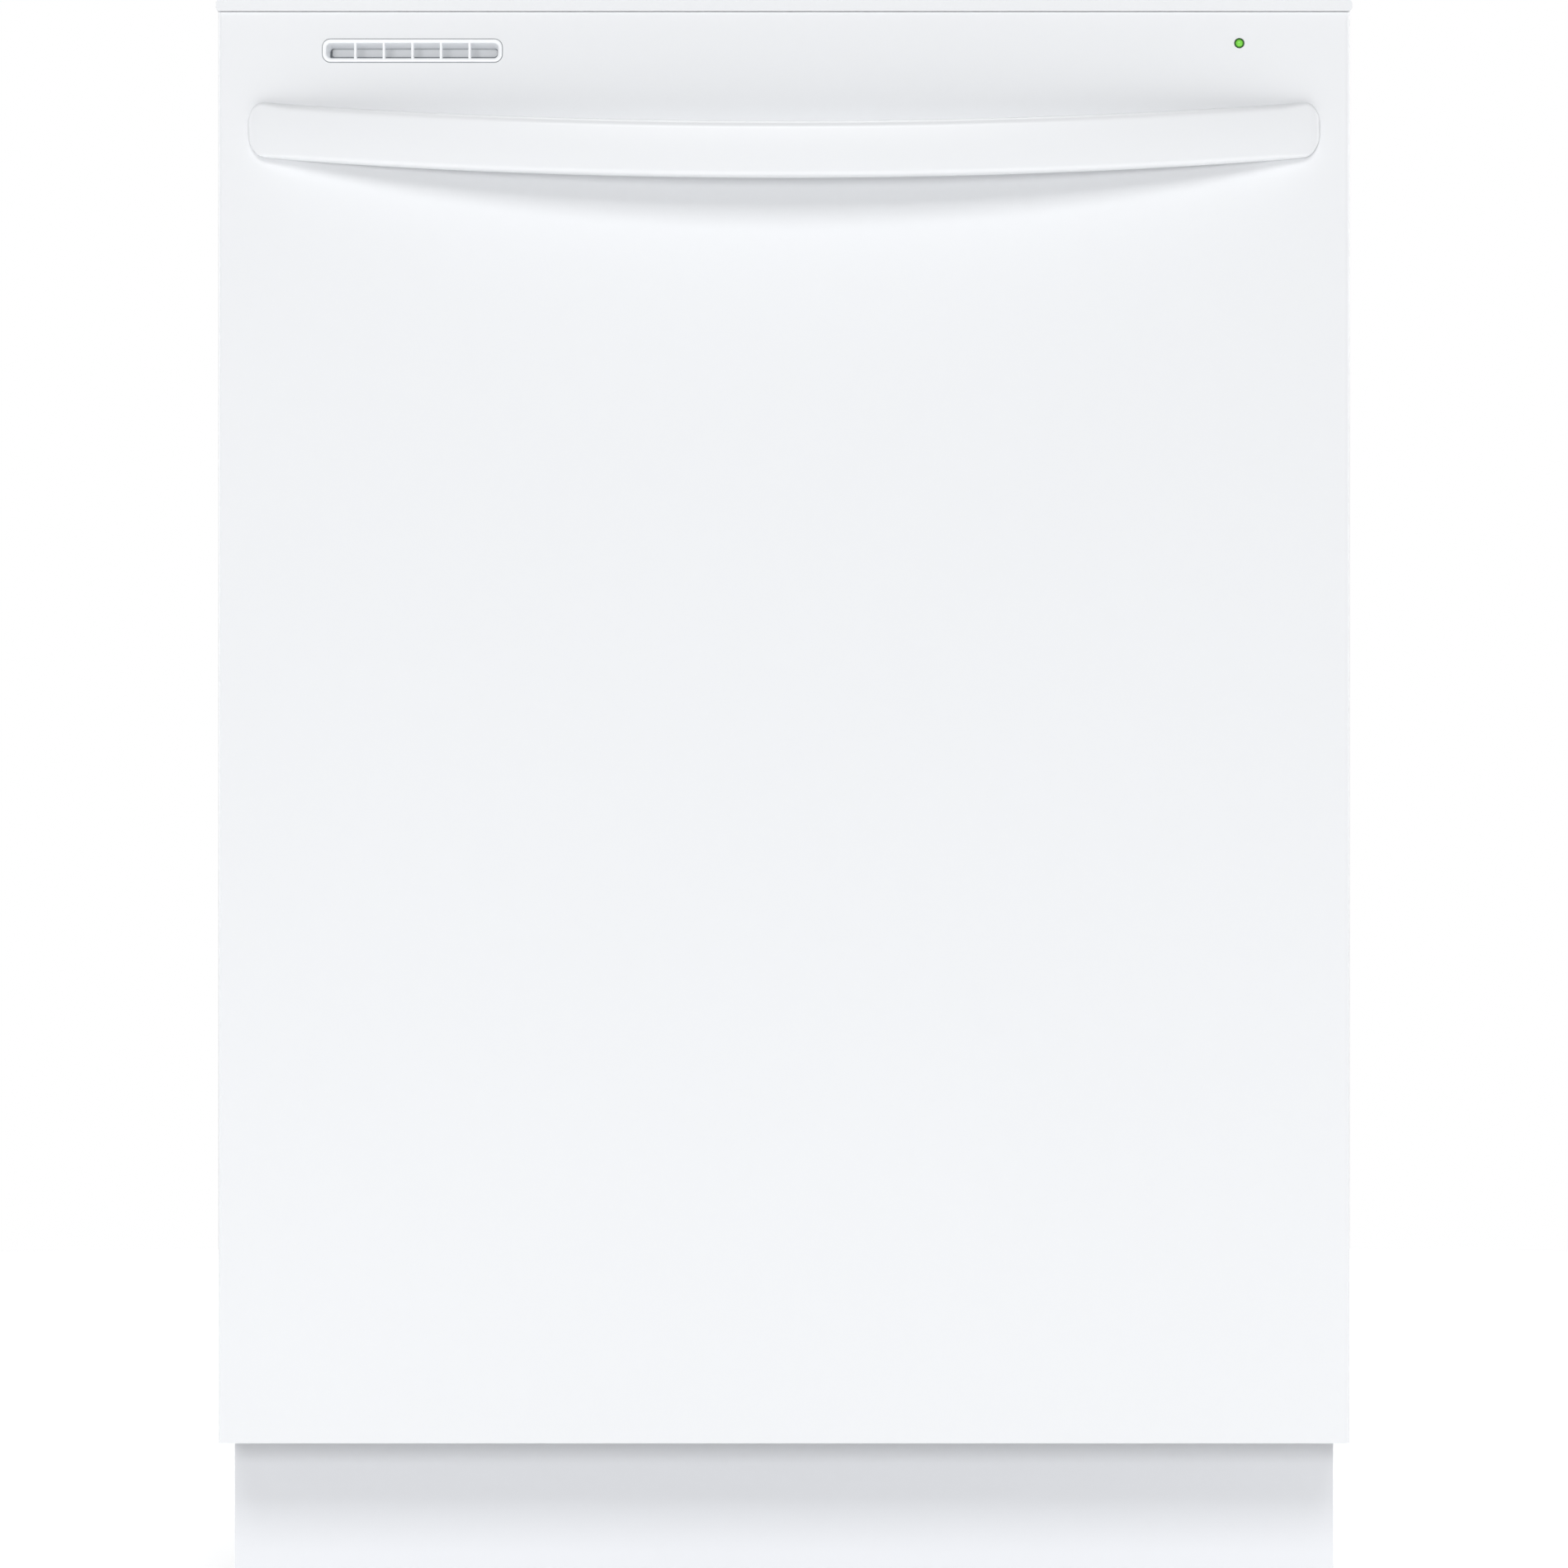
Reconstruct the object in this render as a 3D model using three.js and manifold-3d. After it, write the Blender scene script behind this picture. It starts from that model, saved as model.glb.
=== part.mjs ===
// A 24 inch built-in dishwasher with hidden top controls, as an assembly of separate pieces.
// Millimetres, +Z up, the door faces -Y. The origin is on the floor, under the middle of the whole machine.
import * as THREE from "three";
import { mergeVertices } from "three/addons/utils/BufferGeometryUtils.js";
import Module from "manifold-3d";

const wasm = await Module();
wasm.setup();

// ---------------------------------------------------------------- driving dimensions
const WIDTH = 603; // door panel, for a 610 mm opening between cabinets
const HEIGHT = 860; // floor to the counter brackets, with the feet screwed in
const DEPTH = 610; // door panel to the back of the base
const HANDLE_REACH = 42; // how far the handle stands in front of the door panel
const GAP = 0.3; // between pieces that touch
const SHEET = 1.2; // steel sheet

const FRONT = -(DEPTH + HANDLE_REACH) / 2 + HANDLE_REACH;
const BACK = FRONT + DEPTH;

const DOOR = { bottom: 87, skinTop: 850, capTop: 856, capOver: 1.2, thick: 65, half: WIDTH / 2 };
const LINER = { face: FRONT + DOOR.thick, half: 290, z0: 134, z1: 846, bulge: 10, bulgeHalf: 222, wall: 3 };
const HINGE = { y: FRONT + 34, z: 118, pin: 4, drum: 26 };

const TUB = { half: 266, floor: 150, top: 820, back: 296, front: -210, wall: 4, corner: 40 };
const FLANGE = { half: 293, z0: 131, z1: 850, thick: 4, corner: 12 };
const BLANKET = 8;
const SUMP = { y: 20, mouth: 100, z0: 62, hubY: 40, filterY: -19 };

const BASE = { half: 280, front: -200, z0: 30, z1: 145.7, sheet: 3 };
const FOOT = { x: 262, front: -172, back: 292 };
const TOE = { y: -199, z0: 11, z1: 84, half: 298.5 };

const UPPER = { half: 244, y0: -190, y1: 262, z0: 515, z1: 640 };
const LOWER = { half: 230, y0: -185, y1: 255, z0: 196, z1: 330 };
const WIRE = 5;
const RAIL = { z: 590, y0: -200, y1: 250 };
const WHEEL = { r: 18, x: 243, z: 170, width: 10, front: -120, back: 190 };

const VENT = { x: -198, z: 829, width: 95.6, height: 12.1, depth: 27, lip: 0.8, ribs: 5 };
const LENS = { x: 242.6, z: 833, r: 2.45 };
const DISPENSER = { x0: -164, x1: 88, z0: 470, z1: 572, cupX0: -78, cupX1: -10, cupZ0: 484, cupZ1: 558 };
const KEYS = { count: 5, pitch: 46, first: 40, length: 24, width: 11, y: -252 };

// ---------------------------------------------------------------- shape helpers
function solid(geometry) {
  const bare = geometry.clone();
  bare.deleteAttribute("normal");
  bare.deleteAttribute("uv");
  const merged = mergeVertices(bare, 1e-4);
  return new wasm.Manifold(
    new wasm.Mesh({
      numProp: 3,
      vertProperties: new Float32Array(merged.attributes.position.array),
      triVerts: new Uint32Array(merged.index.array),
    }),
  );
}

function geometryOf(body) {
  const mesh = body.getMesh();
  const positions = new Float32Array(mesh.numVert * 3);
  for (let i = 0; i < mesh.numVert; i++) {
    positions.set(mesh.vertProperties.subarray(i * mesh.numProp, i * mesh.numProp + 3), i * 3);
  }
  const geometry = new THREE.BufferGeometry();
  geometry.setAttribute("position", new THREE.BufferAttribute(positions, 3));
  geometry.setIndex(new THREE.BufferAttribute(new Uint32Array(mesh.triVerts), 1));
  geometry.computeVertexNormals();
  return geometry;
}

const join = (...bodies) => bodies.flat().reduce((a, b) => a.add(b));
const cut = (body, ...tools) => tools.flat().reduce((a, b) => a.subtract(b), body);

function box(x0, x1, y0, y1, z0, z1) {
  const geometry = new THREE.BoxGeometry(x1 - x0, y1 - y0, z1 - z0);
  geometry.translate((x0 + x1) / 2, (y0 + y1) / 2, (z0 + z1) / 2);
  return solid(geometry);
}

// A round bar from one point to another, tapered where endRadius differs.
function rod(from, to, radius, sides = 12, endRadius = radius) {
  const a = new THREE.Vector3(...from);
  const b = new THREE.Vector3(...to);
  const geometry = new THREE.CylinderGeometry(endRadius, radius, a.distanceTo(b), sides);
  const turn = new THREE.Quaternion();
  turn.setFromUnitVectors(new THREE.Vector3(0, 1, 0), b.clone().sub(a).normalize());
  geometry.applyQuaternion(turn);
  geometry.translate(...a.add(b).multiplyScalar(0.5).toArray());
  return solid(geometry);
}

// A shape drawn in (x, z), pushed along Y; in (y, z), pushed along X; or in (x, y), pushed along Z.
function alongY(shape, y0, y1, curveSegments = 4) {
  const geometry = new THREE.ExtrudeGeometry(shape, { depth: y1 - y0, bevelEnabled: false, curveSegments });
  geometry.rotateX(Math.PI / 2);
  geometry.translate(0, y1, 0);
  return solid(geometry);
}

function alongX(shape, x0, x1, curveSegments = 4) {
  const geometry = new THREE.ExtrudeGeometry(shape, { depth: x1 - x0, bevelEnabled: false, curveSegments });
  const axes = [new THREE.Vector3(0, 1, 0), new THREE.Vector3(0, 0, 1), new THREE.Vector3(1, 0, 0)];
  geometry.applyMatrix4(new THREE.Matrix4().makeBasis(...axes));
  geometry.translate(x0, 0, 0);
  return solid(geometry);
}

function alongZ(shape, z0, z1, curveSegments = 4) {
  const geometry = new THREE.ExtrudeGeometry(shape, { depth: z1 - z0, bevelEnabled: false, curveSegments });
  geometry.translate(0, 0, z0);
  return solid(geometry);
}

function roundRect(u0, u1, v0, v1, r) {
  const shape = new THREE.Shape();
  shape.moveTo(u0 + r, v0);
  shape.absarc(u1 - r, v0 + r, r, -Math.PI / 2, 0);
  shape.absarc(u1 - r, v1 - r, r, 0, Math.PI / 2);
  shape.absarc(u0 + r, v1 - r, r, Math.PI / 2, Math.PI);
  shape.absarc(u0 + r, v0 + r, r, Math.PI, Math.PI * 1.5);
  return shape;
}

function polygon(points) {
  return new THREE.Shape(points.map(([u, v]) => new THREE.Vector2(u, v)));
}

// A flat grid of bars with nu by nv openings; slab makes one bar from its two ranges.
function lattice(slab, u0, u1, v0, v1, nu, nv, bar = WIRE) {
  const places = (from, to, n) => Array.from({ length: n + 1 }, (_, i) => from + (i * (to - from - bar)) / n);
  return join(
    places(u0, u1, nu).map((u) => slab(u, u + bar, v0, v1)),
    places(v0, v1, nv).map((v) => slab(u0, u1, v, v + bar)),
  );
}

const slabX = (x0, x1) => (y0, y1, z0, z1) => box(x0, x1, y0, y1, z0, z1);
const slabY = (y0, y1) => (x0, x1, z0, z1) => box(x0, x1, y0, y1, z0, z1);
const slabZ = (z0, z1) => (x0, x1, y0, y1) => box(x0, x1, y0, y1, z0, z1);

// A row of upright tines on a base bar, as a shape.
function comb(u0, u1, v0, v1, count, bar = WIRE) {
  const points = [[u0, v0], [u1, v0]];
  const step = (u1 - u0 - bar) / (count - 1);
  for (let i = count - 1; i >= 0; i--) {
    const u = u0 + i * step;
    points.push([u + bar, i === count - 1 ? v1 : v0 + bar]);
    if (i !== count - 1) points.push([u + bar, v1]);
    points.push([u, v1]);
    if (i !== 0) points.push([u, v0 + bar]);
  }
  return polygon(points);
}

// A tube along a curve through the points.
function tube(points, radius, sides, steps) {
  const path = new THREE.CatmullRomCurve3(points.map((p) => new THREE.Vector3(...p)), false, "centripetal");
  const section = new THREE.Shape();
  section.absarc(0, 0, radius, 0, Math.PI * 2);
  const options = { extrudePath: path, steps, bevelEnabled: false, curveSegments: sides };
  return solid(new THREE.ExtrudeGeometry(section, options));
}

function lathe(profile, sides, at = [0, 0, 0]) {
  const geometry = new THREE.LatheGeometry(profile.map(([r, z]) => new THREE.Vector2(r, z)), sides);
  geometry.rotateX(Math.PI / 2);
  geometry.translate(...at);
  return solid(geometry);
}

// A skin over rings of points, closed by flat ends.
function loft(rings) {
  const count = rings[0].length;
  const last = (rings.length - 1) * count;
  const positions = rings.flat().flatMap((p) => p);
  const index = [];
  for (let r = 0; r + 1 < rings.length; r++) {
    for (let i = 0; i < count; i++) {
      const a = r * count + i;
      const b = r * count + ((i + 1) % count);
      index.push(a, b, b + count, a, b + count, a + count);
    }
  }
  for (let i = 1; i + 1 < count; i++) {
    index.push(0, i + 1, i);
    index.push(last, last + i, last + i + 1);
  }
  const geometry = new THREE.BufferGeometry();
  geometry.setAttribute("position", new THREE.Float32BufferAttribute(positions, 3));
  geometry.setIndex(index);
  return solid(geometry);
}

// ---------------------------------------------------------------- materials
const finish = (color, roughness, metalness = 0) =>
  new THREE.MeshStandardMaterial({ color, roughness, metalness });
const MATERIAL = {
  whitePaint: finish(0xf1f2f4, 0.3),
  whitePlastic: finish(0xeff0f2, 0.35),
  greyTub: finish(0xb9bdc0, 0.45),
  greyPlastic: finish(0x8d9296, 0.5),
  darkPlastic: finish(0x303336, 0.55),
  rubber: finish(0x5c6063, 0.8),
  vinylWire: finish(0xc9ccce, 0.4),
  steel: finish(0xc4c8cc, 0.3, 1),
  zinc: finish(0xb4b8bc, 0.45, 1),
  blanket: finish(0x8a8d90, 0.95),
  greenLens: finish(0x6cc03f, 0.2),
  clear: finish(0xc7d3da, 0.15),
};

function piece(name, body, material) {
  const mesh = new THREE.Mesh(geometryOf(body), material);
  mesh.name = name;
  return mesh;
}

function placed(mesh, x, y, z) {
  mesh.position.set(x, y, z);
  return mesh;
}

function group(...members) {
  const made = new THREE.Group();
  made.add(...members.flat());
  return made;
}

const SIDES = [["left", -1], ["right", 1]];
const span = (side, a, b) => (side > 0 ? [a, b] : [-b, -a]); // x range, mirrored on the left

// ---------------------------------------------------------------- cabinet: tub and what is fixed to it
function tub() {
  const funnelTop = 215;
  const funnelDrop = 14;
  const inner = roundRect(-TUB.half, TUB.half, TUB.floor, TUB.top, TUB.corner);
  const w = TUB.wall;
  const outer = roundRect(-TUB.half - w, TUB.half + w, TUB.floor - w, TUB.top + w, TUB.corner + w);
  const flange = roundRect(-FLANGE.half, FLANGE.half, FLANGE.z0, FLANGE.z1, FLANGE.corner);
  const funnel = (grow, low, high) =>
    lathe([[0, low], [SUMP.mouth + grow, low], [funnelTop + grow, high], [0, high]], 18, [0, SUMP.y, 0]);
  const shell = join(
    alongY(outer, TUB.front + 1, TUB.back + w, 3),
    alongY(flange, TUB.front, TUB.front + FLANGE.thick, 2),
    funnel(w, TUB.floor - funnelDrop - w, TUB.floor + 1),
    SIDES.map(([, s]) => wheelTrack(s, 4)),
  );
  return cut(
    shell,
    alongY(inner, TUB.front - 1, TUB.back, 3),
    SIDES.map(([, s]) => wheelTrack(s, 0)),
    funnel(0, TUB.floor - funnelDrop, TUB.floor + 0.01),
    rod([0, SUMP.y, 100], [0, SUMP.y, 160], SUMP.mouth - 6, 18),
    box(-14, 14, TUB.front - 1, TUB.front + FLANGE.thick + 1, 834, 848),
    rod([190, -150, 140], [190, -150, 160], 6.4, 10),
    rod([-280, 180, 330], [-260, 180, 330], 8, 10),
    rod([0, 288, 140], [0, 288, 156], 7, 10),
  );
}

// The flat track that the rack wheels roll on, along the foot of each side wall; wall makes its outside.
function wheelTrack(side, wall) {
  const [a, b] = span(side, 236 - wall, 252 + wall);
  const y0 = wall ? TUB.front + 1 : TUB.front - 1;
  const top = WHEEL.z - WHEEL.r - GAP;
  return box(a, b, y0, TUB.back - 30 + wall, top - wall, top + 12);
}

function tubGasket() {
  const inset = 2.5;
  const outer = roundRect(-280, 280, 137.5, 832, 46);
  const inner = roundRect(-TUB.half - inset, TUB.half + inset, 146.5, TUB.top + inset, 38);
  const y0 = LINER.face + GAP;
  const y1 = TUB.front - GAP;
  return cut(alongY(outer, y0, y1, 3), alongY(inner, y0 - 1, y1 + 1, 3));
}

function insulationBlanket() {
  const w = TUB.wall + GAP + 0.2;
  const inner = roundRect(-TUB.half - w, TUB.half + w, TUB.floor - 60, TUB.top + w, TUB.corner + w);
  const t = w + BLANKET;
  const outer = roundRect(-TUB.half - t, TUB.half + t, TUB.floor - 60, TUB.top + t, TUB.corner + t);
  const back = TUB.back + w;
  return cut(
    alongY(outer, BASE.front + 4, back + BLANKET, 3),
    alongY(inner, BASE.front, back, 3),
    box(-300, 300, -300, 340, 60, BASE.z1 + 9),
    rod([-290, 180, 330], [-262, 180, 330], 12, 14),
  );
}

// One side of the base, built for the right and mirrored: a wall, a shelf for the tub, a floor flange, and the
// cheek in front that carries the door hinge pin.
function baseSide(side) {
  const s = BASE.sheet;
  const range = (a, b) => span(side, a, b);
  const bar = (a, b, y0, y1, z0, z1) => box(...range(a, b), y0, y1, z0, z1);
  return join(
    bar(BASE.half - s, BASE.half, BASE.front, BACK, BASE.z0, BASE.z1),
    bar(212, BASE.half - 1, BASE.front + 8, BACK, BASE.z1 - 2.3, BASE.z1),
    bar(246, BASE.half - 1, BASE.front, BACK, BASE.z0, BASE.z0 + s),
    bar(BASE.half - s, 290, BASE.front, BASE.front + s, 38, 128),
    bar(284, 288, HINGE.y - 10, BASE.front + 1, HINGE.z - 10, HINGE.z + 10),
    rod([side * 284, HINGE.y, HINGE.z], [side * 288, HINGE.y, HINGE.z], 12, 12),
    rod([side * 286, HINGE.y, HINGE.z], [side * 299.5, HINGE.y, HINGE.z], HINGE.pin, 8),
    bar(BASE.half - 1, 294, 100, 103, HINGE.z + 18, HINGE.z + 27),
    bar(BASE.half - s, BASE.half, 92, 108, 130, HINGE.z + 27),
  );
}

function baseFrame() {
  const cross = [
    box(-BASE.half, BASE.half, BACK - BASE.sheet, BACK, BASE.z0, 122),
    box(-BASE.half, BASE.half, BASE.front, BASE.front + BASE.sheet, 92, 116),
    box(-BASE.half, BASE.half, BASE.front, BASE.front + 22, 92, 95),
    box(-BASE.half, BASE.half, 244, 270, BASE.z0, BASE.z0 + BASE.sheet),
    box(-BASE.half, BASE.half, -190, -154, BASE.z0, BASE.z0 + BASE.sheet),
  ];
  const footHoles = [-1, 1].flatMap((s) =>
    [FOOT.front, FOOT.back].map((y) => rod([s * FOOT.x, y, 20], [s * FOOT.x, y, 40], 5.6, 8)),
  );
  const hoseHole = rod([-285, 180, 62], [-270, 180, 62], 12, 14);
  return cut(join(SIDES.map(([, s]) => baseSide(s)), cross), footHoles, hoseHole);
}

function toeKick() {
  const y0 = TOE.y - 2 - GAP;
  const panel = box(-TOE.half, TOE.half, y0 - 1, y0 + 1, TOE.z0, TOE.z1);
  const ends = SIDES.map(([, s]) => box(...span(s, TOE.half - 1.5, TOE.half), y0, y0 + 22, TOE.z0, TOE.z1));
  return join(panel, ends, box(-TOE.half, TOE.half, y0, y0 + 16, TOE.z0, TOE.z0 + 1.5));
}

function counterBracket(side) {
  const [a, b] = span(side, 176, 226);
  const y0 = TUB.front + FLANGE.thick + GAP;
  const hole = (a + b) / 2;
  const tab = cut(
    box(a, b, y0, y0 + 34, HEIGHT - 2, HEIGHT),
    rod([hole, y0 + 20, HEIGHT - 5], [hole, y0 + 20, HEIGHT + 2], 3.2, 12),
  );
  return join(box(a, b, y0, y0 + 2, 835, HEIGHT), tab);
}

function latchStrike() {
  const y1 = TUB.front - GAP;
  return cut(box(-17, 17, y1 - 5.5, y1, 834, 849), box(-10, 10, y1 - 7, y1 + 1, 838, 846.5));
}

function sump() {
  const top = TUB.floor - 14 - TUB.wall - GAP;
  const { z0 } = SUMP;
  const bowl = lathe([[0, z0], [74, z0], [96, top - 14], [112, top - 6], [112, top], [0, top]], 18, [0, SUMP.y, 0]);
  const hollow = lathe([[0, z0 + 3], [71, z0 + 3], [92.5, top + 1], [0, top + 1]], 18, [0, SUMP.y, 0]);
  const volute = rod([88, 50, 90], [122, 50, 90], 40, 16);
  const eye = rod([60, 50, 90], [97, 50, 90], 14, 8);
  const pumpRoom = rod([92, 50, 90], [123, 50, 90], 36, 16);
  const drainBoss = rod([-66, 40, 88], [-112, 40, 88], 22, 12);
  const drainBore = rod([-60, 40, 88], [-113, 40, 88], 17, 12);
  const hub = rod([0, SUMP.hubY, z0 + 1], [0, SUMP.hubY, 170], 12, 12);
  const hubBore = rod([0, SUMP.hubY, z0 + 20], [0, SUMP.hubY, 172], 9, 12);
  const feed = rod([0, SUMP.hubY, z0 + 28], [0, SUMP.hubY + 64, z0 + 28], 8, 10);
  return join(cut(join(bowl, volute, drainBoss), hollow, eye, pumpRoom, drainBore), cut(join(hub, feed), hubBore));
}

function filterPlate() {
  const z = TUB.floor - 12.5;
  return cut(
    lathe([[0, z], [97, z], [106, z + 3], [106, z + 5], [96, z + 2], [0, z + 2]], 20, [0, SUMP.y, 0]),
    rod([0, SUMP.hubY, z - 5], [0, SUMP.hubY, z + 10], 13, 12),
    rod([0, SUMP.filterY, z - 5], [0, SUMP.filterY, z + 10], 36.5, 16),
    slots(z),
  );
}

function slots(z) {
  const angles = [-0.5, 0.25, 1, 2.14, 2.9, 3.64];
  return angles.map((t) => {
    const reach = (r) => [r * Math.cos(t), SUMP.hubY + r * Math.sin(t)];
    const centre = reach(56);
    return rod([...centre, z - 5], [...centre, z + 10], 11, 6);
  });
}

function heaterElement() {
  const z = 161;
  const loop = [];
  const steps = 16;
  for (let i = 0; i <= steps; i++) {
    const t = Math.PI / 2 + 0.17 + ((Math.PI * 2 - 0.34) * i) / steps;
    loop.push([200 * Math.cos(t), 40 + 168 * Math.sin(t), z]);
  }
  const first = loop[0];
  const last = loop[steps];
  const path = [[first[0], 232, z - 7], ...loop, [last[0], 232, z - 7]];
  const legs = [first, last].map(([x]) => rod([x, 230, z - 10.6], [x, 230, z - 2], 7, 10));
  return join(tube(path, 3.6, 3, 30), legs);
}

function washMotor() {
  const y = 50;
  const z = 90;
  const can = rod([123, y, z], [210, y, z], 36, 16);
  const cap = rod([210, y, z], [224, y, z], 30, 16, 20);
  const flange = rod([122 + GAP, y, z], [128, y, z], 40, 20);
  const bore = rod([120, y, z], [150, y, z], 4.4, 12);
  return cut(join(can, cap, flange, box(150, 196, y - 22, y + 22, 46, 62)), bore);
}

function washImpeller() {
  const y = 50;
  const z = 90;
  const shaft = rod([104, y, z], [148, y, z], 4, 10);
  const disc = rod([110, y, z], [113, y, z], 31, 20);
  const vanes = Array.from({ length: 6 }, (_, i) => {
    const t = (i * Math.PI) / 3;
    const at = (r, lean) => [y + r * Math.cos(t + lean), z + r * Math.sin(t + lean)];
    return alongX(polygon([at(9, 0), at(9, 0.35), at(30, 0.72), at(30, 0.62)]), 101, 111);
  });
  return join(shaft, disc, vanes);
}

function drainPump() {
  const y = 40;
  const z = 88;
  const body = rod([-112 - GAP, y, z], [-150, y, z], 22, 16);
  const motor = rod([-149, y, z], [-190, y, z], 18, 14);
  const spout = rod([-130, y + 10, z - 6], [-130, y + 92, z - 6], 11, 12);
  const bore = rod([-130, y + 20, z - 6], [-130, y + 94, z - 6], 8, 12);
  return cut(join(body, motor, spout), bore);
}

function inletValve() {
  const [x, y, z] = [-226, 180, 62];
  return cut(
    join(
      box(x - 22, x + 22, y - 26, y + 26, z - 14, z + 14),
      rod([x, y - 10, z], [x, y - 10, z + 44], 14, 14),
      rod([x, y + 24, z], [x, y + 52, z], 13, 14),
      rod([x - 20, y, z], [x - 34, y, z], 8, 12),
      box(x - 24, x + 24, y - 28, y - 22, BASE.z0 + BASE.sheet + GAP, z + 14),
    ),
    rod([x, y + 30, z], [x, y + 54, z], 9, 14),
  );
}

function fillHose() {
  const r = 6.5;
  const points = [
    [-260.6, 180, 62], [-272, 180, 62], [-281, 180, 64], [-287.5, 180, 71], [-289, 180, 84], [-289, 180, 190],
    [-289, 180, 304], [-287.5, 180, 319], [-281, 180, 328], [-270 - GAP, 180, 330],
  ];
  return tube(points, r, 3, 20);
}

function junctionBox() {
  const [x0, x1, y0, y1, z0, z1] = [196, 262, -148, -84, BASE.z0 + BASE.sheet + GAP, 84];
  const lid = box(x0 - 1.5, x1 + 1.5, y0 - 2, y0, z0, z1 + 2);
  return cut(join(box(x0, x1, y0, y1, z0, z1), lid), rod([229, y1 - 6, 60], [229, y1 + 1, 60], 11, 16));
}

function sprayConduit() {
  const y0 = 276;
  const y1 = TUB.back - GAP;
  const riser = box(-16, 16, y0, y1, TUB.floor + GAP, 812);
  const overhead = box(-14, 14, SUMP.hubY - 20, y1, 806, TUB.top - GAP);
  const dock = rod([0, y0 + 1, 506], [0, y0 - 9, 506], 13, 14);
  const dockBore = rod([0, y0 - 1, 506], [0, y0 - 12, 506], 9, 14);
  const rose = rod([0, SUMP.hubY, 808], [0, SUMP.hubY, 796], 34, 20, 26);
  return cut(join(riser, overhead, dock, rose), dockBore);
}

function railChannel(side) {
  const [a, b] = span(side, 257.7, TUB.half - GAP);
  const [c, d] = span(side, 257, TUB.half - GAP - SHEET);
  const { z, y0, y1 } = RAIL;
  return cut(box(a, b, y0, y1, z - 12, z + 12), box(c, d, y0 - 1, y1 + 1, z - 10.8, z + 10.8));
}

function rackRail(side) {
  const [a, b] = span(side, 255, 263.6);
  const [c, d] = span(side, 254, 262.4);
  const { z, y0, y1 } = RAIL;
  return cut(box(a, b, y0 + 2, y1 - 2, z - 9.8, z + 9.8), box(c, d, y0, y1 - 4, z - 8.6, z + 8.6));
}

// The counterbalance: a coil between the base and a cable that runs to the drum on the hinge arm.
function doorSpring(side) {
  const x = side * 293;
  const z = HINGE.z + HINGE.drum + 1.7;
  return join(
    rod([x, -120, z], [x, 60, z], 6.2, 10),
    rod([x, 59, z], [x, 99.6, z], 1.4, 6),
    rod([side * 296.8, HINGE.y + 6, z], [side * 296.8, -132, z], 1.2, 6),
    rod([side * 296.8, -133, z], [side * 293, -119, z], 1.6, 6),
  );
}

// ---------------------------------------------------------------- small moving pieces in the cabinet
function levelingFoot() {
  const hex = new THREE.Shape();
  for (let i = 0; i < 6; i++) {
    const t = (i * Math.PI) / 3;
    hex[i ? "lineTo" : "moveTo"](10 * Math.cos(t), 10 * Math.sin(t));
  }
  hex.closePath();
  return join(
    lathe([[0, 0], [17, 0], [18, 1.5], [18, 4], [8, 8], [0, 8]], 14),
    alongZ(hex, 7, 15),
    rod([0, 0, 14], [0, 0, 78], 5, 8),
  );
}

function fineFilter() {
  const z = TUB.floor - 10.2;
  return join(
    cut(
      lathe([[0, 80], [31, 80], [34.5, z], [44, z], [44, z + 3], [0, z + 3]], 18),
      lathe([[0, 83], [28, 83], [31, z + 4], [0, z + 4]], 18),
    ),
    box(-32, 32, -2.5, 2.5, z - 2, z + 12),
  );
}

function floatDome() {
  return join(
    lathe([[0, 153], [19, 153], [20, 156], [18, 172], [12, 178], [0, 180]], 16),
    rod([0, 0, 128], [0, 0, 154], 5.6, 10),
  );
}

// A spray arm: two flattened blades on a hub, with nozzles on top.
function sprayArm(reach, z, hubBottom, hubRadius) {
  const blade = (s) => {
    const stations = [0, 0.5, 0.85, 0.96, 1];
    const rings = stations.map((t) => {
      const half = (27 - 9 * t) * Math.sqrt(1 - Math.max(0, (t - 0.85) / 0.16) ** 2) + 1;
      const x = s * (8 + (reach - 8) * t);
      const thick = 5.5 - 1.5 * t;
      const lean = 5 * s * t;
      const ring = [[-1, 0], [-0.7, -1], [0.7, -1], [1, 0], [0.7, 1], [-0.7, 1]];
      return ring.map(([u, v]) => [x, lean + u * half, z + v * thick]);
    });
    return loft(s > 0 ? rings : rings.reverse());
  };
  const jets = [-0.86, -0.62, -0.4, 0.4, 0.62, 0.86].map((t) =>
    rod([reach * t, 4 * t, z + 2], [reach * t, 4 * t, z + 7.5], 4.5, 6, 3.2),
  );
  const hub = rod([0, 0, hubBottom], [0, 0, z + 8], hubRadius, 16);
  return join(blade(-1), blade(1), hub, jets);
}

// ---------------------------------------------------------------- racks
function rackBasket(r, floorCells, sideCells, frontCells) {
  const { half, y0, y1, z0, z1 } = r;
  return join(
    lattice(slabZ(z0, z0 + WIRE), -half, half, y0, y1, ...floorCells),
    lattice(slabY(y0, y0 + WIRE), -half, half, z0, z1, ...frontCells),
    lattice(slabY(y1 - WIRE, y1), -half, half, z0, z1, ...frontCells),
    lattice(slabX(-half, -half + WIRE), y0, y1, z0, z1, ...sideCells),
    lattice(slabX(half - WIRE, half), y0, y1, z0, z1, ...sideCells),
  );
}

function tineRow(r, x, y0, y1, height, count) {
  return alongX(comb(y0, y1, r.z0, r.z0 + height, count), x - WIRE / 2, x + WIRE / 2);
}

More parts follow.
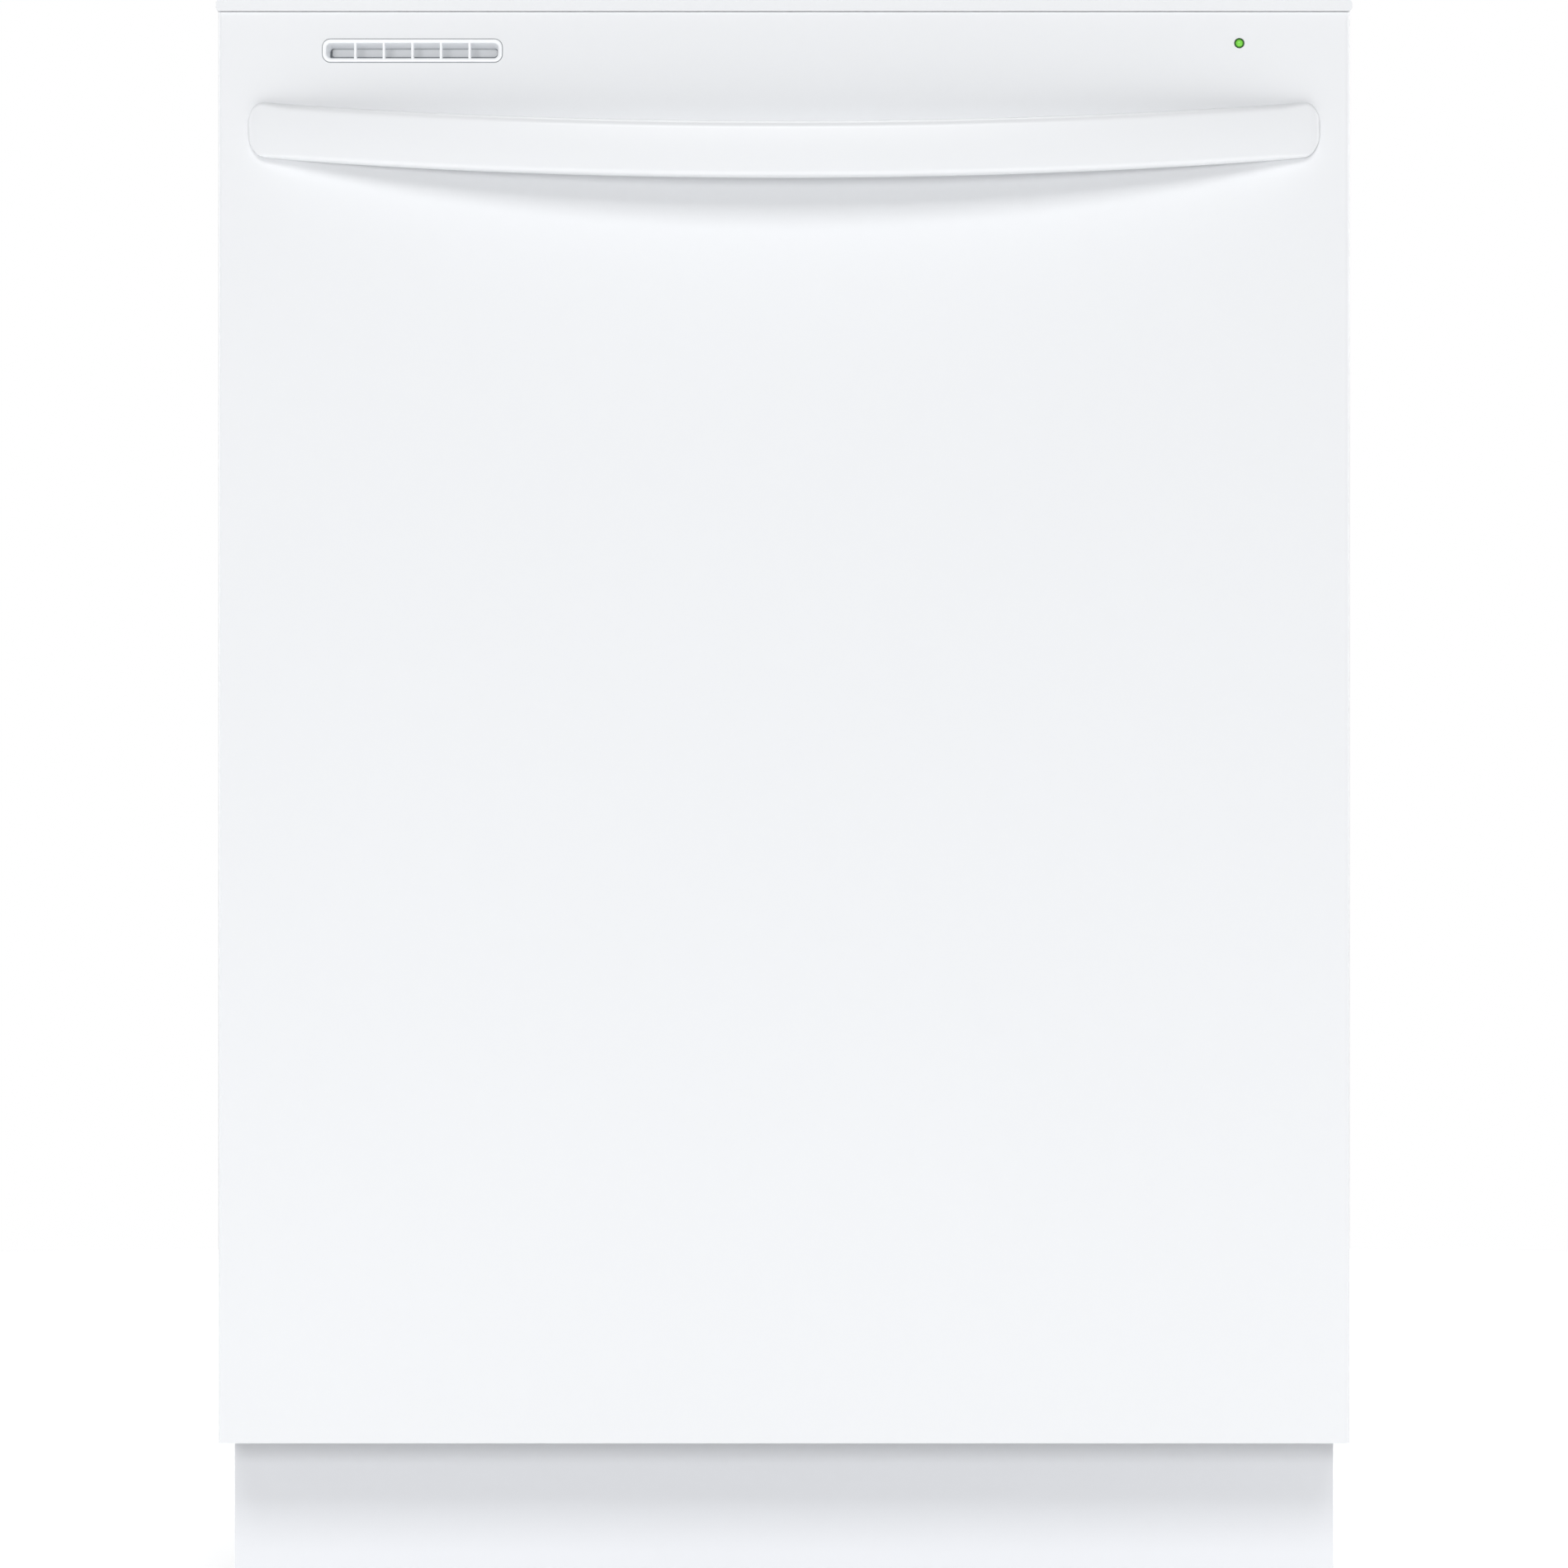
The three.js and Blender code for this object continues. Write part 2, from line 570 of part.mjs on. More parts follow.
function upperRack() {
  const runner = SIDES.flatMap(([, s]) => [
    box(...span(s, UPPER.half - 2, 261), RAIL.y0 + 40, RAIL.y1 - 12, RAIL.z - 5, RAIL.z + 5),
  ]);
  const tines = [-72, 72].map((x) => tineRow(UPPER, x, UPPER.y0 + 60, UPPER.y1 - 40, 62, 6));
  const basket = rackBasket(UPPER, [3, 3], [3, 2], [3, 2]);
  const grip = box(-70, 70, UPPER.y0 - 7, UPPER.y0 + 2, UPPER.z1 - 26, UPPER.z1 + 2);
  return join(basket, runner, tines, grip);
}

function lowerRack() {
  const tines = [-150, -60, 30].map((x) => tineRow(LOWER, x, LOWER.y0 + 45, LOWER.y1 - 45, 70, 6));
  const axles = SIDES.flatMap(([, s]) =>
    [WHEEL.front, WHEEL.back].flatMap((y) => [
      rod([s * (LOWER.half - 4), y, WHEEL.z], [s * (WHEEL.x + 7), y, WHEEL.z], 3.5, 8),
      box(...span(s, LOWER.half - 8, LOWER.half - 1), y - 9, y + 9, 162, LOWER.z0 + 24),
    ]),
  );
  const grip = box(-70, 70, LOWER.y0 - 7, LOWER.y0 + 2, LOWER.z1 - 26, LOWER.z1 + 2);
  return join(rackBasket(LOWER, [4, 4], [3, 2], [3, 2]), tines, axles, grip);
}

function rackWheel() {
  const half = WHEEL.width / 2;
  const tyre = rod([-half, 0, 0], [half, 0, 0], WHEEL.r, 18);
  const dish = rod([2, 0, 0], [half + 1, 0, 0], WHEEL.r - 4, 12);
  return cut(tyre, dish, rod([-half - 1, 0, 0], [half + 1, 0, 0], 3.8, 8));
}

function cupShelf(side) {
  const [a, b] = span(side, 0, 72);
  return join(
    lattice(slabZ(0, 4), a, b, -90, 90, 2, 3, 4),
    rod([side * 1, -96, 2], [side * 1, 96, 2], 3, 8),
  );
}

function midManifold() {
  const z = UPPER.z0 - 9;
  return join(
    rod([0, SUMP.hubY, z], [0, 266 - GAP, z], 7.5, 12),
    rod([0, SUMP.hubY, z - 5], [0, SUMP.hubY, UPPER.z0 - GAP], 17, 16),
    box(-22, 22, SUMP.hubY - 24, SUMP.hubY + 24, UPPER.z0 - 4, UPPER.z0 - GAP),
  );
}

function cutleryBasket() {
  const [x0, x1, y0, y1, z0, z1] = [120, 214, -160, 90, 203, 318];
  const w = 2.5;
  const cells = 4;
  const pitch = (y1 - y0 - w) / cells;
  const rooms = [];
  for (let i = 0; i < cells; i++) {
    const a = y0 + w + i * pitch;
    rooms.push(box(x0 + w, x1 - w, a, a + pitch - w, z0 + w, z1 + 1));
  }
  const bars = lattice(slabX(x0 - 2, x1 + 2), y0 + 8, y1 - 8, z0 + 14, z1 - 12, 6, 2, 5);
  const frame = box(x0 - 1, x1 + 1, y0 + 8, y1 - 8, z0 + 14, z1 - 12).subtract(bars);
  const openings = frame.intersect(join(box(x0 - 1, x0 + w, y0, y1, z0, z1), box(x1 - w, x1 + 1, y0, y1, z0, z1)));
  const middle = (y0 + y1) / 2;
  const handle = cut(
    box((x0 + x1) / 2 - 4, (x0 + x1) / 2 + 4, middle - 60, middle + 60, z1 - 30, z1 + 46),
    box(0, 300, middle - 50, middle + 50, z1 + 6, z1 + 38),
  );
  const body = cut(box(x0, x1, y0, y1, z0, z1), rooms, openings);
  return join(body, handle);
}

// ---------------------------------------------------------------- door
function doorPanel() {
  const h = DOOR.half;
  const back = LINER.face - 7;
  const plan = roundRect(-h, h, FRONT, FRONT + 120, 2.2);
  const hollow = roundRect(-h + SHEET, h - SHEET, FRONT + SHEET, FRONT + 130, 1);
  const shell = cut(
    alongZ(plan, DOOR.bottom, DOOR.skinTop - GAP, 2),
    alongZ(hollow, DOOR.bottom - 1, DOOR.skinTop + 1, 1),
    box(-h - 1, h + 1, back, FRONT + 200, 0, 900),
  );
  const bottomFlange = box(-h + 1, h - 1, FRONT + 1, FRONT + 18, DOOR.bottom, DOOR.bottom + SHEET);
  const sideFlanges = SIDES.map(([, s]) => box(...span(s, 292, h - 1), back - SHEET, back, 200, DOOR.skinTop - 14));
  const bezel = roundRect(
    VENT.x - VENT.width / 2 + 1.2, VENT.x + VENT.width / 2 - 1.2,
    VENT.z - VENT.height / 2 + 1.2, VENT.z + VENT.height / 2 - 1.2, 3,
  );
  return cut(
    join(shell, bottomFlange, sideFlanges),
    alongY(bezel, FRONT - 1, FRONT + 4, 2),
    rod([LENS.x, FRONT - 2, LENS.z], [LENS.x, FRONT + 4, LENS.z], LENS.r + GAP, 16),
  );
}

function doorLiner() {
  const { face, half, z0, z1, bulge, bulgeHalf, wall } = LINER;
  const [by0, by1] = [face, face + bulge];
  const tray = cut(
    alongY(roundRect(-half, half, z0, z1, 8), FRONT + 12, face, 2),
    alongY(roundRect(-half + wall, half - wall, z0 + wall, z1 - wall, 6), FRONT, face - wall, 2),
  );
  const raised = alongY(roundRect(-bulgeHalf, bulgeHalf, 168, 800, 30), by0 - 1, by1, 3);
  const raisedHollow = alongY(roundRect(-bulgeHalf + 3, bulgeHalf - 3, 171, 797, 27), by0 - 5, by1 - wall, 3);
  const { x0, x1, z0: dz0, z1: dz1 } = DISPENSER;
  const front = FRONT + 20;
  return cut(
    join(tray, raised),
    raisedHollow,
    box(x0 + 70, x1 - 6, face - 20, by1 + 1, dz0 + 6, dz1 - 6),
    box(-14, 14, face - 12, face + 1, 832, z1 + 1),
    box(-half + 5, half - 5, FRONT + 10, face - 9, z1 - wall - 1, z1 + 1),
    box(-half - 1, half + 1, front - 20, front + 24, z0 - 1, z0 + 40),
    ventPassage(face - 5, face + 1),
  );
}

// The way through the door for moist air, cut through each wall that it crosses.
function ventPassage(y0, y1) {
  const halfWidth = VENT.width / 2 + 1;
  return box(VENT.x - halfWidth, VENT.x + halfWidth, y0, y1, VENT.z - 8.5, VENT.z + 8.5);
}

function console_() {
  const half = DOOR.half + DOOR.capOver;
  const y0 = FRONT - 1.4;
  const cap = alongY(roundRect(-half, half, DOOR.skinTop, DOOR.capTop, 2), y0, LINER.face - GAP, 2);
  const inner = half - 9;
  const frontWall = box(-inner, inner, FRONT + 3, FRONT + 5, 808, DOOR.skinTop + 1);
  const backWall = box(-inner + 12, inner - 12, LINER.face - 6.5, LINER.face - 4, 812, 842.6);
  const ledge = box(-inner + 12, inner - 12, LINER.face - 12, LINER.face - 4, 841, 842.6);
  const webs = [-279, -120, 60, 276.5].flatMap((x) => [
    box(x, x + 2.5, FRONT + 4, LINER.face - 9.5, 812, DOOR.skinTop + 1),
    box(x, x + 2.5, LINER.face - 10, LINER.face - 5, 812, 842),
  ]);
  const keyHoles = keyPlaces().map((x) =>
    box(x - GAP, x + KEYS.length + GAP, KEYS.y - GAP, KEYS.y + KEYS.width + GAP, 840, 860),
  );
  const lensHole = rod([LENS.x, FRONT, LENS.z], [LENS.x, FRONT + 8, LENS.z], LENS.r + GAP, 16);
  const hookWindow = box(-12, 12, LINER.face - 14, LINER.face, 832, 846);
  return cut(
    join(cap, frontWall, backWall, ledge, webs, hookPost()),
    keyHoles, lensHole, hookWindow, ventPassage(FRONT, FRONT + 8), ventPassage(LINER.face - 14, LINER.face),
  );
}

const HOOK = { y: HINGE.y, z: 845 };

// Two ears under the cap with the pin that the latch hook turns on.
function hookPost() {
  return join(
    box(-15, -12, HOOK.y - 6, HOOK.y + 6, 838, DOOR.skinTop + 1),
    box(12, 15, HOOK.y - 6, HOOK.y + 6, 838, DOOR.skinTop + 1),
    rod([-13, HOOK.y, HOOK.z], [13, HOOK.y, HOOK.z], 2, 10),
  );
}

function latchHook() {
  const y = HOOK.y;
  const tip = TUB.front + 7;
  const profile = polygon([
    [y - 5, 841.4], [y - 5, 848.8], [y + 5, 848.8], [y + 8, 845], [tip, 845], [tip, 839], [tip - 4, 839],
    [tip - 4, 841.4],
  ]);
  return cut(alongX(profile, -7, 7), rod([-9, y, HOOK.z], [9, y, HOOK.z], 2.3, 10));
}

const keyPlaces = () => Array.from({ length: KEYS.count }, (_, i) => KEYS.first + i * KEYS.pitch);

function consoleKey() {
  const stem = box(7, KEYS.length - 7, 3, KEYS.width - 3, -9, -2);
  const skirt = box(0, KEYS.length, 0, KEYS.width, -4, 0.8);
  return join(stem, skirt);
}

// The handle bows out and down in one arc and runs into the door at both ends.
function handle() {
  const half = 285.6;
  const endRound = 9;
  const height = 29.5;
  const endZ = 787.5;
  const sag = 13.8;
  const section = [
    [0, -0.6], [0.12, -0.9], [0.4, -1], [0.75, -1], [1, -0.85], [1, 0], [1, 0.85], [0.75, 1], [0.4, 1],
    [0.12, 0.86], [0, 0.5],
  ];
  const rings = [];
  const stations = 24;
  for (let i = 0; i <= stations; i++) {
    const x = -half * Math.cos((Math.PI * i) / stations);
    const u = x / half;
    const past = Math.max(0, Math.abs(x) - (half - endRound)) / endRound;
    const round = Math.sqrt(Math.max(0.006, 1 - past * past));
    const bow = (1 - u * u) ** 0.95;
    const outer = FRONT - GAP - 3 * round - (HANDLE_REACH - 3 - GAP) * bow;
    const inner = Math.min(outer + 15 - 6 * (1 - bow), FRONT - GAP);
    const z = endZ - sag * bow;
    rings.push(section.map(([v, w]) => [x, outer + v * (inner - outer), z + (w * round * height) / 2]));
  }
  return loft(rings);
}

function ventGrille() {
  const { x, z, width, height, depth, lip, ribs } = VENT;
  const ring = (grow, r) =>
    roundRect(x - width / 2 - grow, x + width / 2 + grow, z - height / 2 - grow, z + height / 2 + grow, r);
  const wall = 2.1;
  const y0 = FRONT - lip;
  const bezel = cut(alongY(ring(0, 4), y0, FRONT - GAP, 2), alongY(ring(-wall, 2.4), y0 - 1, FRONT + 1, 2));
  const duct = cut(
    alongY(ring(-1.5, 2.6), FRONT - GAP - 0.2, FRONT + depth, 2),
    alongY(ring(-wall - 0.6, 2), y0 - 1, FRONT + depth + 1, 2),
  );
  const opening = width - 2 * wall;
  const bars = Array.from({ length: ribs }, (_, i) => {
    const middle = x - opening / 2 + (opening * (i + 1)) / (ribs + 1);
    return box(middle - 0.65, middle + 0.65, y0 + 0.4, FRONT + 9, z - height / 2 + 1.2, z + height / 2 - 1.2);
  });
  return join(bezel, duct, bars);
}

function ventFlap() {
  const half = VENT.width / 2 - 3.6;
  return join(
    box(-half, half, -0.6, 0.6, -7, 0),
    rod([-half, 0, 0], [half, 0, 0], 0.8, 6),
  );
}

function statusLens() {
  return lathe([[0, -18], [3.6, -18], [3.6, -14], [LENS.r, -14], [LENS.r, 0.4], [1.4, 1.1], [0, 1.3]], 14);
}

function dispenserBody() {
  const { x0, x1, z0, z1, cupX0, cupX1, cupZ0, cupZ1 } = DISPENSER;
  const face = LINER.face + LINER.bulge + GAP;
  return cut(
    join(
      alongY(roundRect(x0, x1, z0, z1, 8), face, face + 3.5, 2),
      box(x0 + 74, x1 - 10, face - 26, face + 1, z0 + 9, z1 - 9),
      box(x0 + 4, cupX1 + 5, face + 3, face + 7, cupZ0 - 8, cupZ0 - 5),
      box(x0 + 4, cupX1 + 5, face + 3, face + 7, cupZ1 + 5, cupZ1 + 8),
    ),
    alongY(roundRect(cupX0, cupX1, cupZ0, cupZ1, 6), face - 23, face + 10, 2),
    rod([48, face - 12, 521], [48, face + 10, 521], 14, 16),
  );
}

function dispenserCover() {
  const y0 = LINER.face + LINER.bulge + GAP + 3.5 + GAP;
  const { cupX0, cupX1, cupZ0, cupZ1 } = DISPENSER;
  return join(
    alongY(roundRect(cupX0 - 4, cupX1 + 4, cupZ0 - 4.5, cupZ1 + 4.5, 5), y0, y0 + 3, 2),
    box(cupX0 + 6, cupX0 + 12, y0 + 2, y0 + 7, cupZ0 + 20, cupZ1 - 20),
  );
}

function rinseAidCap() {
  return join(
    rod([0, GAP, 0], [0, 5, 0], 19, 20, 17.5),
    rod([0, -10, 0], [0, 1, 0], 13, 14),
    box(-15, 15, 4, 9, -3, 3),
  );
}

function hingeArm(side) {
  const range = (a, b) => span(side, a, b);
  const { y, z } = HINGE;
  const strap = box(...range(291.5, 294), y - 10, y + 14, z, 430);
  const foot = box(...range(291.5, 294), y - 14, y + 8, z - 14, z + 30);
  const drum = rod([side * 294, y, z], [side * 299, y, z], HINGE.drum, 20);
  const hub = rod([side * 290, y, z], [side * 295, y, z], 12, 12);
  return cut(join(strap, foot, drum, hub), rod([side * 288, y, z], [side * 300, y, z], HINGE.pin + 0.6, 8));
}

// ---------------------------------------------------------------- assembly
const M = MATERIAL;

const cabinet = group(
  piece("tub", tub(), M.greyTub),
  piece("tub_gasket", tubGasket(), M.rubber),
  piece("insulation_blanket", insulationBlanket(), M.blanket),
  piece("base_frame", baseFrame(), M.zinc),
  piece("toe_kick", toeKick(), M.whitePaint),
  piece("latch_strike", latchStrike(), M.steel),
  piece("sump", sump(), M.darkPlastic),
  piece("filter_plate", filterPlate(), M.greyPlastic),
  piece("heater_element", heaterElement(), M.steel),
  piece("wash_motor", washMotor(), M.zinc),
  piece("drain_pump", drainPump(), M.darkPlastic),
  piece("inlet_valve", inletValve(), M.whitePlastic),
  piece("fill_hose", fillHose(), M.rubber),
  piece("junction_box", junctionBox(), M.zinc),
  piece("spray_conduit", sprayConduit(), M.greyPlastic),
  SIDES.flatMap(([name, s]) => [
    piece(`counter_bracket_${name}`, counterBracket(s), M.zinc),
    piece(`rail_channel_${name}`, railChannel(s), M.steel),
    piece(`door_spring_${name}`, doorSpring(s), M.steel),
  ]),
);

const feet = group(
  SIDES.flatMap(([name, s]) => [
    placed(piece(`leveling_foot_front_${name}`, levelingFoot(), M.zinc), s * FOOT.x, FOOT.front, 0),
    placed(piece(`leveling_foot_rear_${name}`, levelingFoot(), M.zinc), s * FOOT.x, FOOT.back, 0),
  ]),
);

const washSystem = group(
  placed(piece("fine_filter", fineFilter(), M.greyPlastic), 0, SUMP.filterY, 0),
  placed(piece("float", floatDome(), M.whitePlastic), 190, -150, 0),
  placed(piece("lower_spray_arm", sprayArm(212, 181, 171, 15), M.greyPlastic), 0, SUMP.hubY, 0),
  piece("wash_impeller", washImpeller(), M.whitePlastic),
);

const rails = group(SIDES.map(([name, s]) => piece(`rack_rail_${name}`, rackRail(s), M.steel)));

const upper = group(
  piece("upper_rack", upperRack(), M.vinylWire),
  piece("mid_manifold", midManifold(), M.greyPlastic),
  placed(piece("mid_spray_arm", sprayArm(212, 488, 480, 13), M.greyPlastic), 0, SUMP.hubY, 0),
  SIDES.map(([name, s]) =>
    placed(piece(`cup_shelf_${name}`, cupShelf(s > 0 ? -1 : 1), M.vinylWire), s * 234, 30, 604),
  ),
);

const lower = group(
  piece("lower_rack", lowerRack(), M.vinylWire),
  piece("cutlery_basket", cutleryBasket(), M.greyPlastic),
  SIDES.flatMap(([name, s]) =>
    [["front", WHEEL.front], ["rear", WHEEL.back]].map(([end, y]) => {
      const wheel = placed(piece(`rack_wheel_${end}_${name}`, rackWheel(), M.greyPlastic), s * WHEEL.x, y, WHEEL.z);
      wheel.rotation.z = s > 0 ? 0 : Math.PI;
      return wheel;
    }),
  ),
);

const door = group(
  piece("door_panel", doorPanel(), M.whitePaint),
  piece("door_liner", doorLiner(), M.greyTub),
  piece("console", console_(), M.whitePlastic),
  piece("handle", handle(), M.whitePlastic),
  piece("vent_grille", ventGrille(), M.whitePlastic),
  placed(piece("vent_flap", ventFlap(), M.whitePlastic), VENT.x, FRONT + VENT.depth + 1.6, VENT.z + 3.4),
  piece("dispenser_body", dispenserBody(), M.greyPlastic),
  piece("dispenser_cover", dispenserCover(), M.greyPlastic),
  placed(piece("rinse_aid_cap", rinseAidCap(), M.clear), 48, LINER.face + LINER.bulge + GAP + 3.5, 521),
  piece("latch_hook", latchHook(), M.steel),
  SIDES.map(([name, s]) => piece(`hinge_arm_${name}`, hingeArm(s), M.zinc)),
  keyPlaces().map((x, i) =>
    placed(piece(`console_key_${i + 1}`, consoleKey(), M.greyPlastic), x, KEYS.y, DOOR.capTop),
  ),
);
const lens = placed(piece("status_lens", statusLens(), M.greenLens), LENS.x, FRONT, LENS.z);
lens.rotation.x = Math.PI / 2; // the lens was turned about Z, and looks out along -Y
door.add(lens);

export default group(cabinet, feet, washSystem, rails, upper, lower, door);
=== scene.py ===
from math import copysign, cos, exp, hypot, pi as PI, radians, sin, sqrt

import bmesh
import bpy
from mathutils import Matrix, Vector


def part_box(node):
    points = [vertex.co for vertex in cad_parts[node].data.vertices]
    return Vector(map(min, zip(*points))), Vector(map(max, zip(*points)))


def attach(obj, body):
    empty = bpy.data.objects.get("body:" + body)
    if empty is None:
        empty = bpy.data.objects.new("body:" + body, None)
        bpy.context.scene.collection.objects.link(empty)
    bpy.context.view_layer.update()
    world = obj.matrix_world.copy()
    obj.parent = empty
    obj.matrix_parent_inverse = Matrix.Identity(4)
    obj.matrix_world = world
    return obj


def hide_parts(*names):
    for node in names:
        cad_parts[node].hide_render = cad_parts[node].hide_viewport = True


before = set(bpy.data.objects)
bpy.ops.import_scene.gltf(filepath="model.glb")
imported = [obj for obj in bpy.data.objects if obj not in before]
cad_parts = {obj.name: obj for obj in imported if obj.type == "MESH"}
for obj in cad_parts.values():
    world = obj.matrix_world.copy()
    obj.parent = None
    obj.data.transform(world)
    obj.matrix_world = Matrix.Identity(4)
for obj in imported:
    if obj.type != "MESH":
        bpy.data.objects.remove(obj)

# Lengths are in millimetres up to the helpers that build meshes, which turn them into metres. Lights are in
# metres.
MM = 0.001
AXES = {"X": Vector((1, 0, 0)), "Y": Vector((0, 1, 0)), "Z": Vector((0, 0, 1))}
SIDES = (("left", -1), ("right", 1))
HUB_Y = 40  # the spray arms' axis
SUMP_Y = 20
FILTER_Y = -19
WHEEL_Z = 170
WHEEL_ENDS = (("front", -120), ("rear", 190))
FOOT_X = 262
FOOT_ENDS = (("front", -172), ("rear", 292))
SPRING_X = 293
RACK_RAIL_Z = 590
SHELF_Z = 606
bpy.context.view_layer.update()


def low_high(node):
    lo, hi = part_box(node)
    return [v / MM for v in lo], [v / MM for v in hi]


# ---------------------------------------------------------------- camera and light
FRONT = low_high("door_panel")[0][1]
CAMERA_DISTANCE = 4080
CAMERA_HEIGHT = 438.3
PHOTO_SPAN = 835.4  # width of the door's plane that the photograph takes in
SENSOR = 36

camera_data = bpy.data.cameras.new("camera")
camera_data.sensor_width = SENSOR
camera_data.lens = SENSOR * CAMERA_DISTANCE / PHOTO_SPAN
camera_data.clip_end = 60
camera = bpy.data.objects.new("camera", camera_data)
camera.location = (0, (FRONT - CAMERA_DISTANCE) * MM, CAMERA_HEIGHT * MM)
camera.rotation_euler = (PI / 2, 0, 0)
scene = bpy.context.scene
scene.collection.objects.link(camera)
scene.camera = camera
scene.view_settings.view_transform = "Standard"


def area_light(name, place, target, size, watts, glossy=True):
    data = bpy.data.lights.new(name, "AREA")
    data.shape = "RECTANGLE"
    data.size, data.size_y = size
    data.energy = watts
    light = bpy.data.objects.new(name, data)
    light.location = place
    aim = Vector(target) - Vector(place)
    light.rotation_euler = aim.to_track_quat("-Z", "Y").to_euler()
    light.visible_camera = False
    light.visible_glossy = glossy
    scene.collection.objects.link(light)


# The low front light reaches the toe panel under the door, and has no reflection of its own, because the
# enamel shows none. The higher one gives the short shadow under the handle.
area_light("front_light", (-0.5, -4.6, 0.78), (0, -0.28, 0.45), (0.8, 0.5), 54, glossy=False)
area_light("front_light_high", (0.0, -4.3, 2.55), (0, -0.28, 0.45), (2.4, 1.25), 73)
area_light("side_light_left", (-2.7, 0.35, 1.1), (0, 0.1, 0.45), (1.6, 1.6), 26)
area_light("side_light_right", (2.7, 0.35, 1.1), (0, 0.1, 0.45), (1.6, 1.6), 30)
area_light("back_light", (0.4, 3.0, 1.5), (0, 0.3, 0.45), (2.0, 1.4), 40)
area_light("top_light", (0.0, 0.7, 3.3), (0, 0.1, 0.8), (1.8, 1.4), 36)

world = bpy.data.worlds.new("studio")
world.use_nodes = True
sky = world.node_tree.nodes
sky_links = world.node_tree.links
sky["Background"].inputs["Color"].default_value = (0.985, 0.99, 1.0, 1)
sky["Background"].inputs["Strength"].default_value = 0.18
white_behind = sky.new("ShaderNodeBackground")
white_behind.inputs["Strength"].default_value = 1.0
white_behind.inputs["Color"].default_value = (1, 1, 1, 1)
ray_kind = sky.new("ShaderNodeLightPath")
choose = sky.new("ShaderNodeMixShader")
sky_links.new(ray_kind.outputs["Is Camera Ray"], choose.inputs["Fac"])
sky_links.new(sky["Background"].outputs[0], choose.inputs[1])
sky_links.new(white_behind.outputs[0], choose.inputs[2])
sky_links.new(choose.outputs[0], sky["World Output"].inputs["Surface"])
scene.world = world


# ---------------------------------------------------------------- materials
def surface(name, color, roughness, metallic=0.0, tone=0.03, grain=None, rough_change=0.05, speckle=None,
            coat=0.0, brushed=None, sheen=0.0, glow=None, clear=0.0):
    """A Principled material whose colour, roughness and bump all vary with noise in object space.

    grain is (noise scale per metre, bump distance in mm), speckle is (scale, colour, share of the surface),
    brushed is the axis that fine streaks run along.
    """
    material = bpy.data.materials.new(name)
    material.use_nodes = True
    nodes, links = material.node_tree.nodes, material.node_tree.links
    shader = nodes["Principled BSDF"]
    shader.inputs["Metallic"].default_value = metallic
    shader.inputs["Coat Weight"].default_value = coat
    shader.inputs["Coat Roughness"].default_value = 0.22
    shader.inputs["Sheen Weight"].default_value = sheen
    shader.inputs["Transmission Weight"].default_value = clear
    if glow:
        shader.inputs["Emission Color"].default_value = (*glow[0], 1)
        shader.inputs["Emission Strength"].default_value = glow[1]
    place = nodes.new("ShaderNodeTexCoord")
    stretch = nodes.new("ShaderNodeMapping")
    if brushed:
        stretch.inputs["Scale"].default_value = tuple(0.03 if axis == brushed else 1.0 for axis in "XYZ")
    links.new(place.outputs["Object"], stretch.inputs["Vector"])

    def noise(scale, detail=3.0):
        made = nodes.new("ShaderNodeTexNoise")
        made.inputs["Scale"].default_value = scale
        made.inputs["Detail"].default_value = detail
        links.new(stretch.outputs["Vector"], made.inputs["Vector"])
        return made.outputs["Fac"]

    def mixed(factor, first, second):
        made = nodes.new("ShaderNodeMix")
        made.data_type = "RGBA"
        links.new(factor, made.inputs["Factor"])
        for socket, value in ((made.inputs[6], first), (made.inputs[7], second)):
            if isinstance(value, tuple):
                socket.default_value = (*value, 1)
            else:
                links.new(value, socket)
        return made.outputs[2]

    dark = tuple(c * (1 - tone) for c in color)
    light = tuple(min(1.0, c * (1 + tone)) for c in color)
    paint = mixed(noise(6), dark, light)
    if speckle:
        scale, dot_color, share = speckle
        edge = nodes.new("ShaderNodeMapRange")
        edge.inputs["From Min"].default_value = 0.5 + 0.5 * (0.5 - share)
        edge.inputs["From Max"].default_value = edge.inputs["From Min"].default_value + 0.05
        links.new(noise(scale, 2.0), edge.inputs["Value"])
        paint = mixed(edge.outputs["Result"], paint, dot_color)
    links.new(paint, shader.inputs["Base Color"])
    spread = nodes.new("ShaderNodeMapRange")
    spread.inputs["To Min"].default_value = max(0.02, roughness - rough_change)
    spread.inputs["To Max"].default_value = roughness + rough_change
    links.new(noise(45), spread.inputs["Value"])
    links.new(spread.outputs["Result"], shader.inputs["Roughness"])
    if grain:
        bump = nodes.new("ShaderNodeBump")
        bump.inputs["Strength"].default_value = 0.6
        bump.inputs["Distance"].default_value = grain[1] * MM
        links.new(noise(grain[0]), bump.inputs["Height"])
        links.new(bump.outputs["Normal"], shader.inputs["Normal"])
    return material


WHITE = (0.80, 0.812, 0.83)
ENAMEL = surface("white_enamel", WHITE, 0.32, tone=0.006, grain=(420, 0.008), coat=0.1, rough_change=0.02)
TOE_PAINT = surface("toe_enamel", (0.80, 0.812, 0.84), 0.34, tone=0.006, grain=(420, 0.012), coat=0.15)
MOULDED = surface("white_moulded", WHITE, 0.33, tone=0.006, grain=(900, 0.004), coat=0.1, rough_change=0.02)
TUB = surface("speckled_tub", (0.47, 0.49, 0.51), 0.36, tone=0.03, grain=(260, 0.03),
              speckle=(900, (0.30, 0.31, 0.33), 0.30), coat=0.1)
LINER = surface("speckled_liner", (0.50, 0.52, 0.54), 0.34, tone=0.03, grain=(260, 0.03),
                speckle=(900, (0.32, 0.33, 0.35), 0.30), coat=0.1)
